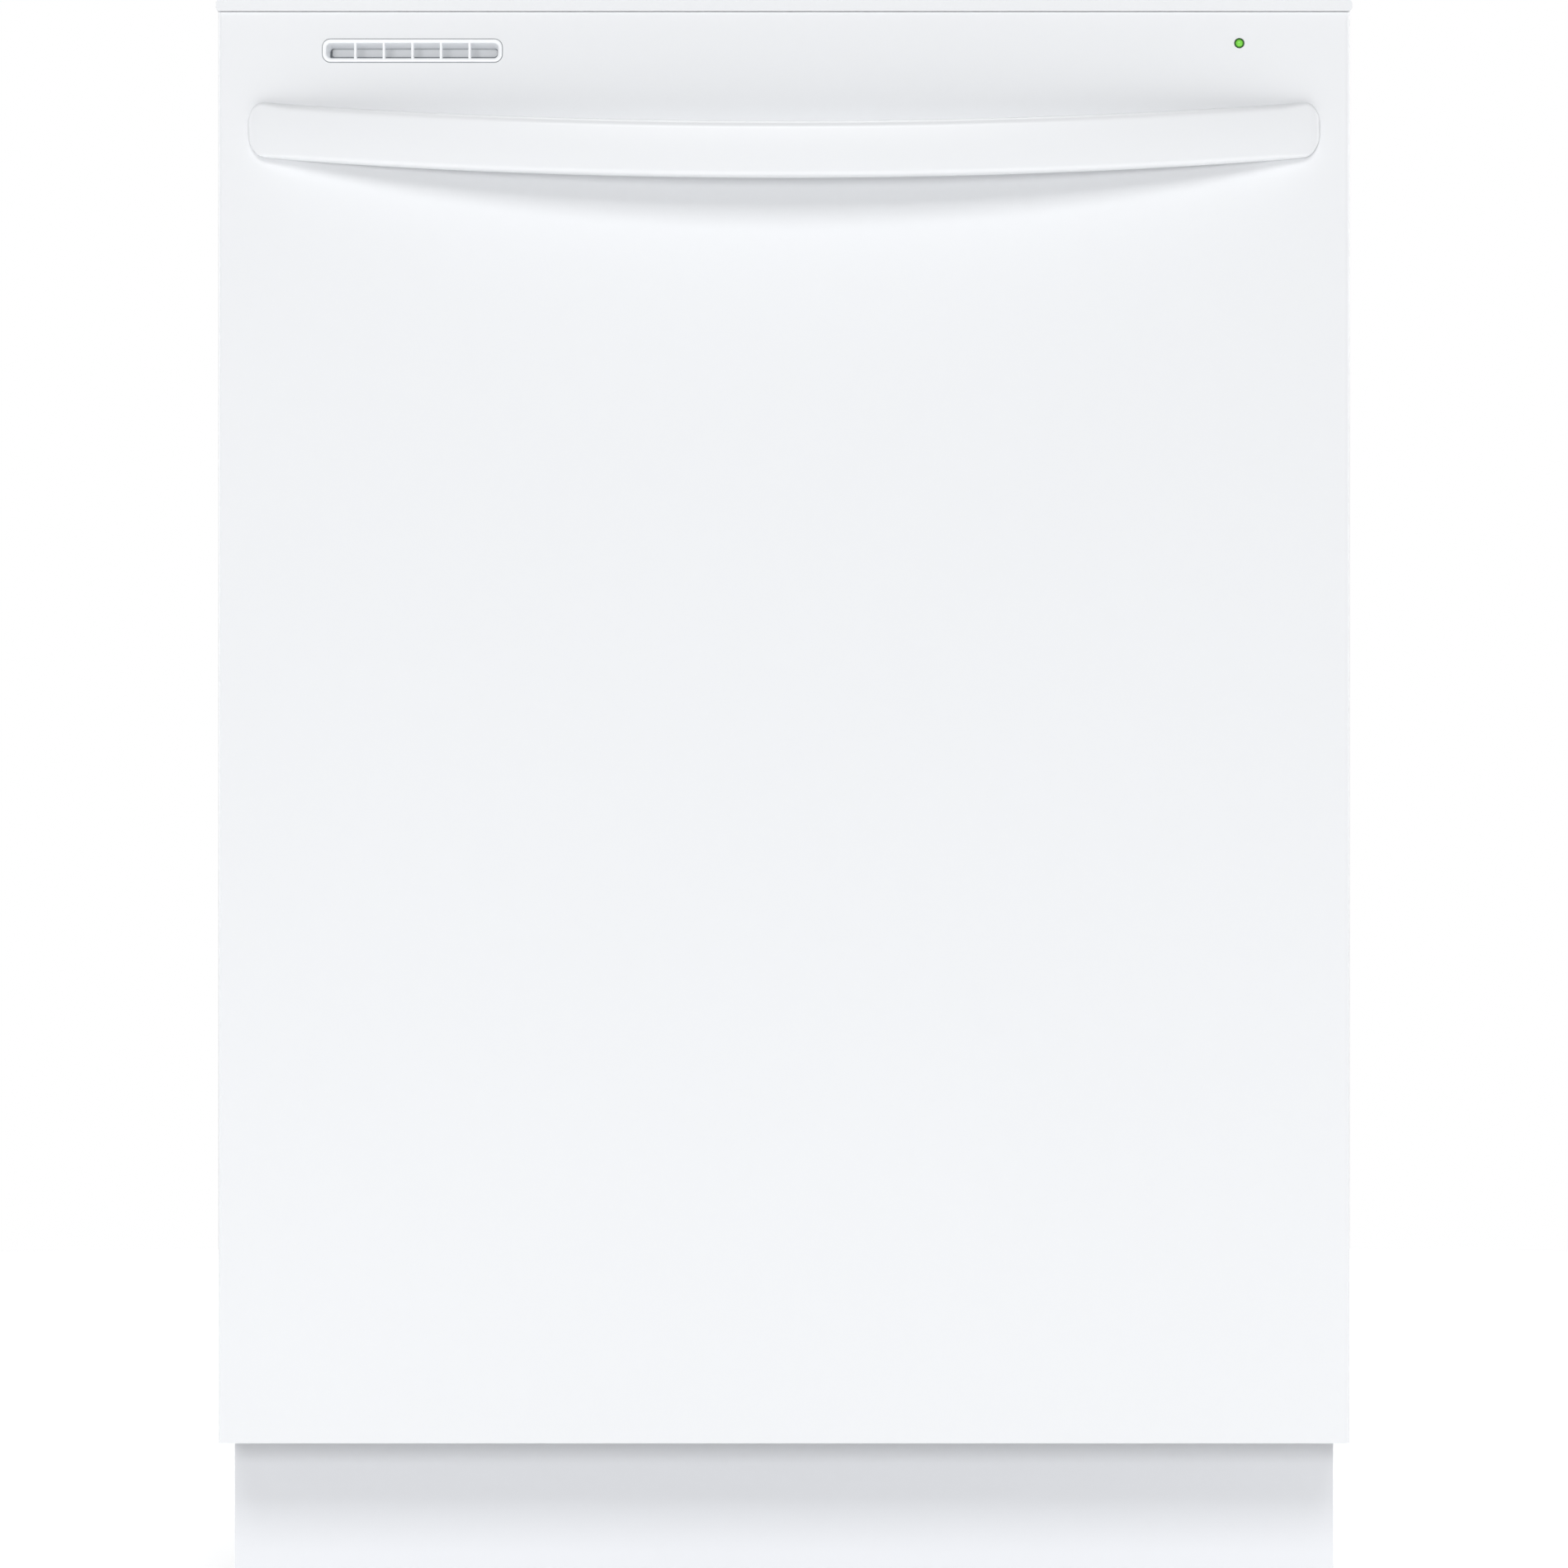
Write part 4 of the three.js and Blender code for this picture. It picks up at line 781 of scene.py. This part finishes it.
def grip_bar(name, node, material):
    """A moulded pull bar clipped on the front of a rack, hollowed under its lip for the fingers."""
    lo, hi = low_high(node)
    y0 = lo[1] + 0.3
    top = hi[2] - 0.2
    half = 70
    rings = []
    for i in range(41):
        u = -1 + 2 * i / 40
        x = half * u
        swell = sqrt(max(0.0, 1 - abs(u) ** 6))
        low = top - 10 - 15.5 * swell
        front = y0 + 2.5 * (1 - swell)
        back = y0 + 9.2
        ring = []
        outline = [(front, low), (front, top), (back, top), (back, top - 7), (front + 3.2, top - 8.5),
                   (front + 2.6, low + 2), (front + 2.2, low)]
        for p in rounded([(x, y, z) for y, z in outline], 1.6, 3, closed=True):
            ring.append(p)
        rings.append(ring)
    lofted(name, rings, material, node)


grip_bar("upper_rack_grip", "upper_rack", GREY)
grip_bar("lower_rack_grip", "lower_rack", GREY)


def mirrored(profile, s):
    """A profile along X for one side of the machine: s is -1 on the left and 1 on the right."""
    return [(radius, s * distance) for radius, distance in profile]


def make_upper_slides():
    """On each side a steel strip with rollers that run in the rail."""
    roller = [(2.0, 250.0), (7.6, 250.0), (8.2, 250.8), (8.2, 259.6), (7.6, 260.4), (2.0, 260.4)]
    pin = [(0, 246.0), (3.6, 246.0), (3.8, 246.4), (3.8, 247.0), (2.0, 247.1), (2.0, 260.6), (2.6, 260.7),
           (2.4, 260.95), (0, 260.95)]
    for side, s in SIDES:
        strip = sorted((s * 247.2, s * 248.8))
        blocks(f"upper_rack_strip_{side}", [(*strip, -158, 236, 576, 604)], STEEL, "upper_rack", 0.5)
        for number, y in enumerate((-140, -40, 60, 160, 220)):
            centre = (0, y, RACK_RAIL_Z)
            spun(f"upper_rack_roller_{side}_{number + 1}", mirrored(roller, s), centre, "X", PALE_GREY,
                 "upper_rack", 32)
            turned(f"upper_rack_pin_{side}_{number + 1}", mirrored(pin, s), centre, "X", STEEL,
                   "upper_rack", 24)


make_upper_slides()


def wheel_spokes(name, s, y, body):
    points, faces = [], []
    for k in range(6):
        t = PI / 3 * k
        along = Vector((0, cos(t), sin(t)))
        over = Vector((0, -sin(t), cos(t))) * 0.9
        hub = Vector((0, y, WHEEL_Z))
        inner, outer = hub + along * 6.6, hub + along * 15.6
        n = len(points)
        for distance in (239.2, 246.8):
            shift = Vector((s * distance, 0, 0))
            points += [p + shift for p in (inner - over, inner + over, outer + over, outer - over)]
        quads = [(0, 1, 2, 3), (7, 6, 5, 4), (0, 4, 5, 1), (1, 5, 6, 2), (2, 6, 7, 3), (3, 7, 4, 0)]
        faces += [tuple(n + i for i in quad) for quad in quads]
    add_mesh(name, points, faces, PALE_GREY, body, smooth=False)


def make_wheels():
    tyre = [(15.0, 238.4), (17.2, 238.4), (18.0, 239.4), (18.0, 246.6), (17.2, 247.6), (15.0, 247.6)]
    web = [(3.9, 238.6), (7.0, 238.6), (7.4, 241.4), (15.2, 241.4), (15.2, 243.6), (7.4, 243.6), (7.0, 247.2),
           (3.9, 247.2)]
    stub = [(0, 228), (6.4, 228.2), (6.4, 231.5), (3.5, 232.5), (3.5, 248.2), (5.6, 248.3), (5.4, 249.4),
            (3.0, 249.9), (0, 249.9)]
    clips = []
    for end, y in WHEEL_ENDS:
        for side, s in SIDES:
            body = f"rack_wheel_{end}_{side}"
            centre = (0, y, WHEEL_Z)
            spun(f"{body}_tyre", mirrored(tyre, s), centre, "X", PALE_GREY, body, 56, [body])
            spun(f"{body}_web", mirrored(web, s), centre, "X", PALE_GREY, body, 48)
            wheel_spokes(f"{body}_spokes", s, y, body)
            turned(f"wheel_axle_{end}_{side}", mirrored(stub, s), centre, "X", GREY, "lower_rack", 32)
    # Each wheel turns on a stub axle in a clip that hangs from the rack's floor wires.
    for _, s in SIDES:
        for _, y in WHEEL_ENDS:
            clips.append((*sorted((s * 222, s * 228.6)), y - 9, y + 9, 162, 214))
            clips.append((*sorted((s * 219.5, s * 231)), y - 7, y + 7, 194, 206))
    blocks("wheel_clips", clips, GREY, "lower_rack", 1.6)


make_wheels()


def make_cup_shelves():
    z = SHELF_Z
    for side, s in SIDES:
        body = f"cup_shelf_{side}"
        lo, hi = low_high(body)
        x0, x1 = (lo[0], hi[0]) if s < 0 else (-hi[0], -lo[0])
        paths = [rim(x0 + 1.9, x1 - 4, lo[1] + 8, hi[1] - 8, z, 12)]
        paths = [([Vector((p.x * -s, p.y, p.z)) for p in path], closed) for path, closed in paths]
        for y in spread(lo[1] + 26, hi[1] - 26, 24):
            run = [(x0 + 2, y, z), (x0 + 22, y, z - 0.6), (x0 + 50, y, z + 0.8), (x1 - 4, y, z)]
            paths.append(([Vector((x * -s, v, w)) for x, v, w in run], False))
        wires(f"{body}_wires", paths, 1.7, VINYL, body, [body])
        front, back = lo[1] + 0.2, hi[1] - 0.2
        tube = [(0, front), (2.2, front), (3.0, lo[1] + 0.5), (3.0, lo[1] + 30), (2.6, lo[1] + 31),
                (2.6, hi[1] - 31), (3.0, hi[1] - 30), (3.0, hi[1] - 0.5), (2.2, back), (0, back)]
        turned(f"{body}_pivot", tube, (s * 233, 0, z), "Y", GREY, body, 28)


make_cup_shelves()


# ---------------------------------------------------------------- cutlery basket
BASKET = (120.1, 213.9, -159.9, 89.9, 203, 318)
BASKET_MIDDLE_X = 167


def perforated(x0, x1, y0, y1, z0, z1, pitch, rows):
    """The bars of a moulded wall with upright slots. The wall is thin in x or in y."""
    along_y = (x1 - x0) < (y1 - y0)
    start, stop = (y0, y1) if along_y else (x0, x1)
    bars = []

    def bar(a, b, low, high):
        bars.append((x0, x1, a, b, low, high) if along_y else (a, b, y0, y1, low, high))

    for low, high in ((z0, z0 + 8), (z1 - 9, z1)):
        bar(start, stop, low, high)
    for row in range(1, rows):
        z = z0 + 8 + (z1 - z0 - 17) * row / rows
        bar(start, stop, z - 1.3, z + 1.3)
    for place in spread(start + 1.6, stop - 1.6, pitch):
        bar(place - 1.3, place + 1.3, z0 + 4, z1 - 4)
    return bars


def make_cutlery_basket():
    x0, x1, y0, y1, z0, z1 = BASKET
    wall = 2.4
    bars = []
    for a, b in ((x0, x0 + wall), (x1 - wall, x1)):
        bars += perforated(a, b, y0, y1, z0, z1, 8.2, 4)
    for a, b in ((y0, y0 + wall), (y1 - wall, y1)):
        bars += perforated(x0, x1, a, b, z0, z1, 8.2, 4)
    pitch = (y1 - y0 - wall) / 4
    for cell in (1, 2, 3):
        a = y0 + pitch * cell
        bars += perforated(x0 + 1, x1 - 1, a, a + wall - 0.3, z0 + 1, z1 - 6, 15, 3)
    for y in spread(y0 + 3, y1 - 3, 7.4):
        bars.append((x0 + 1, x1 - 1, y - 1.2, y + 1.2, z0, z0 + 2.2))
    for x in spread(x0 + 10, x1 - 10, 12):
        bars.append((x - 1.2, x + 1.2, y0 + 1, y1 - 1, z0 + 0.2, z0 + 2.4))
    blocks("basket_walls", bars, GREY, "lower_rack", 0.45, ["cutlery_basket"])

    # The carrying handle: a flat arch over the two middle cells.
    middle = (y0 + y1) / 2
    arch = [(middle - 56, z1 - 16), (middle - 55.5, z1 + 22), (middle - 34, z1 + 41.5), (middle, z1 + 42.5),
            (middle + 34, z1 + 41.5), (middle + 55.5, z1 + 22), (middle + 56, z1 - 16)]
    path = rounded([(BASKET_MIDDLE_X, y, z) for y, z in arch], 26, 8)
    rings = []
    for i, p in enumerate(path):
        step = (path[min(i + 1, len(path) - 1)] - path[max(i - 1, 0)]).normalized()
        out = Vector((0, -step.z, step.y))
        ring = []
        for k in range(16):
            t = 2 * PI * k / 16
            wide = 3.9 * abs(cos(t)) ** 0.6 * (1 if cos(t) > 0 else -1)
            deep = 3.2 * abs(sin(t)) ** 0.6 * (1 if sin(t) > 0 else -1)
            ring.append(p + Vector((wide, 0, 0)) + out * deep)
        rings.append(ring)
    lofted("basket_handle", rings, PALE_GREY, "lower_rack")


make_cutlery_basket()


# ---------------------------------------------------------------- spray arms
def make_spray_arm(body, z, hub_low, hub_radius):
    reach = 211.8
    rings = []
    stations = 96
    for i in range(stations + 1):
        t = -cos(PI * i / stations)
        far = abs(t)
        half = (27.4 - 9 * far) * sqrt(max(0.0, 1 - max(0.0, (far - 0.84) / 0.16) ** 2)) + 0.25
        thick = (5.4 - 1.5 * far) * min(1.0, 0.15 + half / 9)
        pinch = 1 - 0.18 * exp(-((far - 0.2) / 0.12) ** 2)
        lean = 5 * t
        ring = []
        for k in range(28):
            a = 2 * PI * k / 28
            u = copysign(abs(cos(a)) ** 0.75, cos(a))
            v = copysign(abs(sin(a)) ** 0.85, sin(a))
            crest = 0.9 * exp(-(u / 0.28) ** 2) if v > 0 and far < 0.9 else 0.0
            ring.append((reach * t, HUB_Y + lean + u * half * pinch, z + v * thick + crest))
        rings.append(ring)
    lofted(f"{body}_blade", rings, PALE_GREY, body, [body])
    r = hub_radius
    hub = [(0, hub_low), (r - 1.5, hub_low), (r - 0.2, hub_low + 1.2), (r - 0.2, z - 3), (r + 4, z + 2),
           (r + 3, z + 6.4), (r - 1, z + 7.6), (r - 3, z + 7.9), (4.5, z + 7.9), (3.8, z + 6.6), (0, z + 6.6)]
    turned(f"{body}_hub", hub, (0, HUB_Y, 0), "Z", GREY, body, 56)
    for number, t in enumerate((-0.86, -0.62, -0.4, 0.4, 0.62, 0.86)):
        jet = [(0, z + 3), (5.2, z + 3), (4.7, z + 5.2), (4.2, z + 7.0), (3.6, z + 7.5), (2.0, z + 7.5),
               (1.5, z + 6.2), (0, z + 6.2)]
        turned(f"{body}_jet_{number + 1}", jet, (reach * t, HUB_Y + 4.4 * t, 0), "Z", PALE_GREY, body, 28)


make_spray_arm("lower_spray_arm", 181, 171.1, 15)
make_spray_arm("mid_spray_arm", 488, 480.1, 13)


# ---------------------------------------------------------------- springs, hose, feet and heater
def make_springs():
    """Each door spring is a coil hooked on the base at the back, with a cable to the hinge at the front."""
    z = 145.7
    coil, turns, steps = 4.9, 60, 12
    front, back = -118, 62
    for side, s in SIDES:
        node = f"door_spring_{side}"
        x, cable_x = s * SPRING_X, s * 296.8
        helix = []
        for i in range(turns * steps + 1):
            t = 2 * PI * i / steps
            y = front + (back - front) * i / (turns * steps)
            helix.append((x + coil * cos(t), y, z + coil * sin(t)))
        tail = [(x + coil, back, z), (x + 2, back + 3, z), (x, back + 8, z), (x, 97, z)]
        lead = [(cable_x, -131, z), (s * 294.5, -126, z + 1), (x + coil, front, z)]
        paths = [(helix, False), (rounded(tail, 3), False), (rounded(lead, 3), False)]
        wires(f"{node}_coil", paths, 1.25, STEEL, "cabinet", [node], resolution=2)
        wires(f"{node}_cable", [([(cable_x, -243.5, z), (cable_x, -130, z)], False)], 1.1, ZINC, "cabinet",
              resolution=3)
        ferrule = [(0, -134.5), (1.9, -134.5), (2.0, -134), (2.0, -128.5), (1.7, -128), (0, -128)]
        turned(f"{node}_ferrule", ferrule, (cable_x, 0, z), "Y", BRASS, "cabinet", 24)


make_springs()


def make_fill_hose():
    route = [(-261, 180, 62), (-272, 180, 62), (-289, 180, 64), (-289, 180, 84), (-289, 180, 304),
             (-289, 180, 328), (-281, 180, 330), (-270.6, 180, 330)]
    wires("hose_tube", [(rounded(route, 17, 8), False)], 6.2, HOSE, "cabinet", ["fill_hose"], resolution=6)
    # A spring clamp near each end.
    for number, x, z in ((1, -265.5, 62), (2, -274.5, 330)):
        loop = []
        for i in range(49):
            t = 2 * PI * 1.9 * i / 48
            loop.append((x - 1.6 + 3.2 * i / 48, 180 + 7.0 * cos(t), z + 7.0 * sin(t)))
        wires(f"hose_clamp_{number}", [(loop, False)], 0.8, STEEL, "cabinet")


make_fill_hose()


def hexagon_nut(name, x, y, levels, body):
    """levels are the (height, radius) of each hexagon from the bottom up."""
    points = []
    for z, r in levels:
        points += [(x + r * cos(PI / 3 * k), y + r * sin(PI / 3 * k), z) for k in range(6)]
    faces = ring_faces(0, len(levels), 6)
    top = (len(levels) - 1) * 6
    faces += [tuple(reversed(range(6))), tuple(range(top, top + 6))]
    add_mesh(name, points, faces, ZINC, body, smooth=False)


def make_feet():
    pad = [(0, 0), (16.6, 0), (17.8, 0.7), (18, 1.8), (18, 3.2), (17, 4.2), (9.6, 7.0), (8.2, 7.6), (0, 7.6)]
    thread = [(0, 14.8)]
    for i in range(50):
        z = 15 + 1.25 * i
        thread += [(4.3, z), (4.95, z + 0.55)]
    thread += [(4.0, 78), (0, 78)]
    for end, y in FOOT_ENDS:
        for side, s in SIDES:
            body = f"leveling_foot_{end}_{side}"
            x = s * FOOT_X
            turned(f"{body}_pad", pad, (x, y, 0), "Z", DARK, body, 56, [body])
            hexagon_nut(f"{body}_hex", x, y, ((7.4, 9.2), (8.0, 9.9), (14.4, 9.9), (15.0, 9.2)), body)
            turned(f"{body}_thread", thread, (x, y, 0), "Z", ZINC, body, 28)


make_feet()


def make_heater():
    z, wide, deep = 161, 200, 168
    path = []
    steps = 72
    for i in range(steps + 1):
        t = PI / 2 + 0.17 + (2 * PI - 0.34) * i / steps
        path.append((wide * cos(t), HUB_Y + deep * sin(t), z))
    first, last = path[0], path[-1]
    path = [(first[0], 231, z - 7), *path, (last[0], 231, z - 7)]
    wires("heater_tube", [(path, False)], 3.5, HEATER, "cabinet", ["heater_element"], resolution=5)
    leg = [(0, z - 10.4), (7.0, z - 10.4), (7.2, z - 9.6), (7.2, z - 7.2), (5.4, z - 6.2), (4.6, z - 2.4),
           (0, z - 2.2)]
    for number, x in enumerate((first[0], last[0])):
        turned(f"heater_seal_{number + 1}", leg, (x, 230, 0), "Z", RUBBER, "cabinet", 32)


make_heater()


# ---------------------------------------------------------------- filters, motor, pump and valve
def make_filters():
    z = 137.5
    disc = [(97, z), (105.2, z + 2.7), (106, z + 3.4), (106, z + 4.6), (105, z + 5), (96, z + 2)]
    plate = turned("filter_disc", disc, (0, SUMP_Y, 0), "Z", GREY, "cabinet", 96, ["filter_plate"])
    drill(plate, (0, HUB_Y, z), "Z", 13, 30)
    drill(plate, (0, FILTER_Y, z), "Z", 36.5, 30)
    for reach, count in ((88, 40), (79, 36), (70, 32)):
        for k in range(count):
            t = 2 * PI * k / count
            x, y = reach * cos(t), SUMP_Y + reach * sin(t)
            if hypot(x, y - FILTER_Y) > 43:
                drill(plate, (x, y, z), "Z", 2.1, 30, 12)
    plate.data.set_sharp_from_angle(angle=radians(38))

    # The fine filter is a steel gauze in a moulded cage, with a bar across its rim to turn it by.
    body, middle = "fine_filter", FILTER_Y
    low, high = 82, 136

    def radius(height):
        return 31 + 3.5 * (height - 80) / 59.8

    def hoop(height, inset):
        r = radius(height) - inset
        return [(r * cos(2 * PI * k / 48), middle + r * sin(2 * PI * k / 48), height)
                for k in range(48)], True

    def upright(t, inset):
        return [((radius(h) - inset) * cos(t), middle + (radius(h) - inset) * sin(t), h)
                for h in (low, high)], False

    gauze = [hoop(h, 1.9) for h in spread(low, high, 2.7)]
    gauze += [upright(2 * PI * k / 60, 1.9) for k in range(60)]
    wires("fine_filter_gauze", gauze, 0.28, STEEL, body, [body], resolution=1)
    cage = [hoop(h, 1.4) for h in (low, (low + high) / 2, high)]
    cage += [upright(2 * PI * k / 8, 1.4) for k in range(8)]
    wires("fine_filter_cage", cage, 1.3, GREY, body, resolution=3)
    foot = [(0, 80), (29.5, 80), (30.8, 80.8), (30.8, 83), (0, 83)]
    turned("fine_filter_foot", foot, (0, middle, 0), "Z", GREY, body, 56)
    rim_profile = [(30.5, 137.2), (34.2, 137.2), (34.6, 140.2), (42.8, 140.2), (43.8, 141), (43.8, 142.4),
                   (42.8, 143), (32, 143), (30.5, 141.5)]
    spun("fine_filter_rim", rim_profile, (0, middle, 0), "Z", GREY, body, 72)
    rings = []
    for i in range(25):
        u = -1 + 2 * i / 24
        half = (2.4 + 1.8 * u * u) * (1 - 0.35 * abs(u) ** 12)
        top = 151.6 - 2.6 * (1 - u * u) - 2 * abs(u) ** 12
        outline = [(middle - half, 141.5), (middle + half, 141.5), (middle + half, top), (middle - half, top)]
        rings.append(list(rounded([(31.8 * u, y, h) for y, h in outline], 1.6, 4, closed=True)))
    lofted("fine_filter_bar", rings, GREY, body)


def make_motor():
    y, z = 50, 90
    profile = [(4.6, 122.3), (39.2, 122.3), (40, 123.1), (40, 127), (39.2, 127.8), (33, 128.4), (31.5, 131),
               (31.5, 145), (34, 147)]
    for sheet in spread(148, 186, 1.9):
        profile += [(35.8, sheet), (35.8, sheet + 1.1), (35.1, sheet + 1.2), (35.1, sheet + 1.7)]
    profile += [(34, 189), (33, 191), (33, 204), (31, 209), (26, 212), (20, 213), (19, 216), (19, 222),
                (17.5, 223.8), (4.6, 223.8)]
    spun("motor_can", profile, (0, y, z), "X", ZINC, "cabinet", 64, ["wash_motor"])
    angles = (PI / 4, 3 * PI / 4, 5 * PI / 4, 7 * PI / 4)
    spots = [(211.4, y + 25 * cos(t), z + 25 * sin(t)) for t in angles]
    screws("motor_bolts", spots, "X", STEEL, "cabinet", 3.0, 2.4)
    foot = [(151, 195, y - 21, y + 21, 46.3, 50.5), (156, 190, y - 17, y + 17, 50.3, 57)]
    blocks("motor_foot", foot, RUBBER, "cabinet", 1.2)
    blocks("motor_terminals", [(192, 204, y - 9, y + 9, 121, 125.6)], GREY, "cabinet", 0.8)


def make_drain_pump():
    y, z = 40, 88
    housing = [(0, -112.4), (21.6, -112.4), (22, -113), (22, -116), (20.6, -117), (20.6, -126),
               (21.4, -126.6), (21.4, -128), (20.6, -128.6), (20.6, -143), (22, -144), (22, -149.4),
               (21.4, -150), (0, -150)]
    turned("pump_housing", housing, (0, y, z), "X", DARK, "cabinet", 56, ["drain_pump"])
    motor = [(0, -149), (16.6, -149)]
    for sheet in spread(-152, -174, 2.0):
        motor += [(17.9, sheet), (17.9, sheet - 1.2), (17.2, sheet - 1.3), (17.2, sheet - 1.8)]
    motor += [(15.5, -177), (15.5, -184), (13.5, -187.6), (5, -188), (4.2, -189.8), (0, -189.8)]
    turned("pump_motor", motor, (0, y, z), "X", ZINC, "cabinet", 48)
    spout = [(8, 51), (10.8, 51), (10.8, 62), (9.6, 64), (9.6, 104), (11, 105), (9.4, 112), (11, 113),
             (9.4, 120), (10.8, 121), (9, 131.6), (8, 131.8)]
    spun("pump_spout", spout, (-130, 0, z - 6), "Y", DARK, "cabinet", 40)
    spots = [(-149.9, y + 19.8 * cos(t), z + 19.8 * sin(t)) for t in (0.5, 2.6, 4.7)]
    screws("pump_screws", spots, "-X", STEEL, "cabinet", 1.6, 1.2)


def make_inlet_valve():
    x, y, z = -226, 180, 62
    parts = [
        (x - 20, x + 20, y - 21.8, y + 14, z - 12, z + 12),
        (x - 15, x + 15, y + 13, y + 24.5, z - 13, z + 13),
        (x - 24, x + 24, y - 28, y - 22.2, 33.3, z + 14),
        (x - 16, x + 16, y - 25, y + 4, z + 10, z + 14),
    ]
    blocks("valve_body", parts, MOULDED, "cabinet", 1.4, ["inlet_valve"])
    coil = [(0, z + 12), (13.6, z + 12), (14, z + 12.6), (14, z + 16), (12.2, z + 17)]
    winding = ((12.2, 0), (12.7, 0.6), (12.7, 1.2), (12.2, 1.8))
    coil += [(r, z + 18 + 2 * i + d) for i in range(9) for r, d in winding]
    coil += [(14, z + 37), (14, z + 40.6), (13.4, z + 41.2), (6, z + 41.4), (5, z + 43.8), (0, z + 43.8)]
    turned("valve_solenoid", coil, (x, y - 10, 0), "Z", DARK, "cabinet", 40)
    thread = [(9.2, y + 24.2), (12, y + 24.2)]
    for i in range(13):
        thread += [(12, y + 25.4 + 2 * i), (13, y + 26.2 + 2 * i), (12, y + 27 + 2 * i)]
    thread += [(11.6, y + 51.6), (9.2, y + 51.8)]
    spun("valve_thread", thread, (x, 0, z), "Y", BRASS, "cabinet", 40)
    barb = [(0, x - 19), (8, x - 19), (8, x - 22), (6.6, x - 22.5), (7.8, x - 25), (6.4, x - 29),
            (7.6, x - 30), (6.2, x - 33.8), (0, x - 33.8)]
    turned("valve_barb", barb, (0, y, z), "X", MOULDED, "cabinet", 32)
    screws("junction_screws", [(203, -150, 76), (255, -150, 76)], "-Y", ZINC, "cabinet", 3.0, 1.5)


make_filters()
make_motor()
make_drain_pump()
make_inlet_valve()


# ---------------------------------------------------------------- fasteners and small trim
def make_fasteners():
    liner_z = (182, 330, 480, 630, 784)
    places = [(s * 285, -218.95, z) for _, s in SIDES for z in liner_z]
    screws("liner_screws", places, "Y", STEEL, "door", radius=3.1, height=1.5)
    places = [(s * 201 + d, -205.9, 846) for _, s in SIDES for d in (-15, 15)]
    screws("bracket_screws", places, "-Y", STEEL, "cabinet", radius=3.4, height=1.7)
    screws("strike_screws", [(-13.5, -215.9, 842.5), (13.5, -215.9, 842.5)], "-Y", STEEL, "cabinet", 2.2, 1.3)
    base_rows = ((-178, 60), (-60, 52), (120, 52), (296, 60), (296, 110))
    for name, s, facing in (("left", -1, "-X"), ("right", 1, "X")):
        places = [(s * 280.1, y, z) for y, z in base_rows]
        screws(f"base_screws_{name}", places, facing, ZINC, "cabinet", 4.2, 2.2)
    places = [(x, 326.0, 108) for x in (-250, -120, 0, 120, 250)]
    screws("back_screws", places, "Y", ZINC, "cabinet", 4.2, 2.2)


make_fasteners()


def make_console_trim():
    """A dark display strip and a lamp beside each key, along the hidden top of the console."""
    strip = [(x, y) for x, y in rounded_rectangle(-96, 12, -252.5, -240.5, 3)]
    rings = [[(x, y, 855.9) for x, y in strip], [(x, y, 856.25) for x, y in strip],
             [(x * 0.994 - 0.25, -246.5 + (y + 246.5) * 0.95, 856.45) for x, y in strip]]
    lofted("display_window", rings, GLOSS_BLACK, "door")
    for number in range(5):
        x = 52 + 46 * number
        lamp = [(0, 855.9), (1.25, 855.9), (1.25, 856.15), (0.9, 856.35), (0, 856.42)]
        turned(f"key_lamp_{number + 1}", lamp, (x, -257.5, 0), "Z", GREEN, "door", 24)


make_console_trim()


# ---------------------------------------------------------------- CAD nodes that keep their shape
for cad_name, cad_material, cad_edge in (
    ("door_panel", ENAMEL, 0.45), ("console", MOULDED, 0.9), ("toe_kick", TOE_PAINT, 0.5),
    ("door_liner", LINER, 1.2), ("vent_flap", MOULDED_PAINTED_GLOW, 0.2), ("dispenser_body", GREY, 0.8),
    ("dispenser_cover", PALE_GREY, 0.7), ("rinse_aid_cap", TINTED, 0.6), ("latch_hook", STEEL, 0.3),
    ("latch_strike", STEEL, 0.4), ("tub", TUB, 1.6), ("tub_gasket", RUBBER, 1.5), ("base_frame", ZINC, 0.5),
    ("sump", DARK, 0.8), ("float", PALE_GREY, 0.8), ("wash_impeller", PALE_GREY, 0.3),
    ("junction_box", ZINC, 0.5), ("spray_conduit", GREY, 0.8), ("mid_manifold", GREY, 0.5),
    *((f"{part}_{side}", material, edge) for side, _ in SIDES for part, material, edge in (
        ("counter_bracket", ZINC, 0.3), ("rail_channel", STEEL, 0.2), ("rack_rail", STEEL, 0.2),
        ("hinge_arm", ZINC, 0.4))),
    *((f"console_key_{number}", GREY, 0.5) for number in range(1, 6)),
):
    finish_node(cad_name, cad_material, cad_edge)


# ---------------------------------------------------------------- floor
def make_floor():
    radius = 2.9
    data = bpy.data.meshes.new("floor")
    shape = bmesh.new()
    bmesh.ops.create_circle(shape, cap_ends=True, segments=96, radius=radius)
    shape.to_mesh(data)
    shape.free()
    floor = bpy.data.objects.new("floor", data)
    scene.collection.objects.link(floor)
    pale = surface("pale_floor", (0.56, 0.563, 0.566), 0.8, tone=0.004, glow=((1, 1, 1), 0.59))
    data.materials.append(pale)


make_floor()
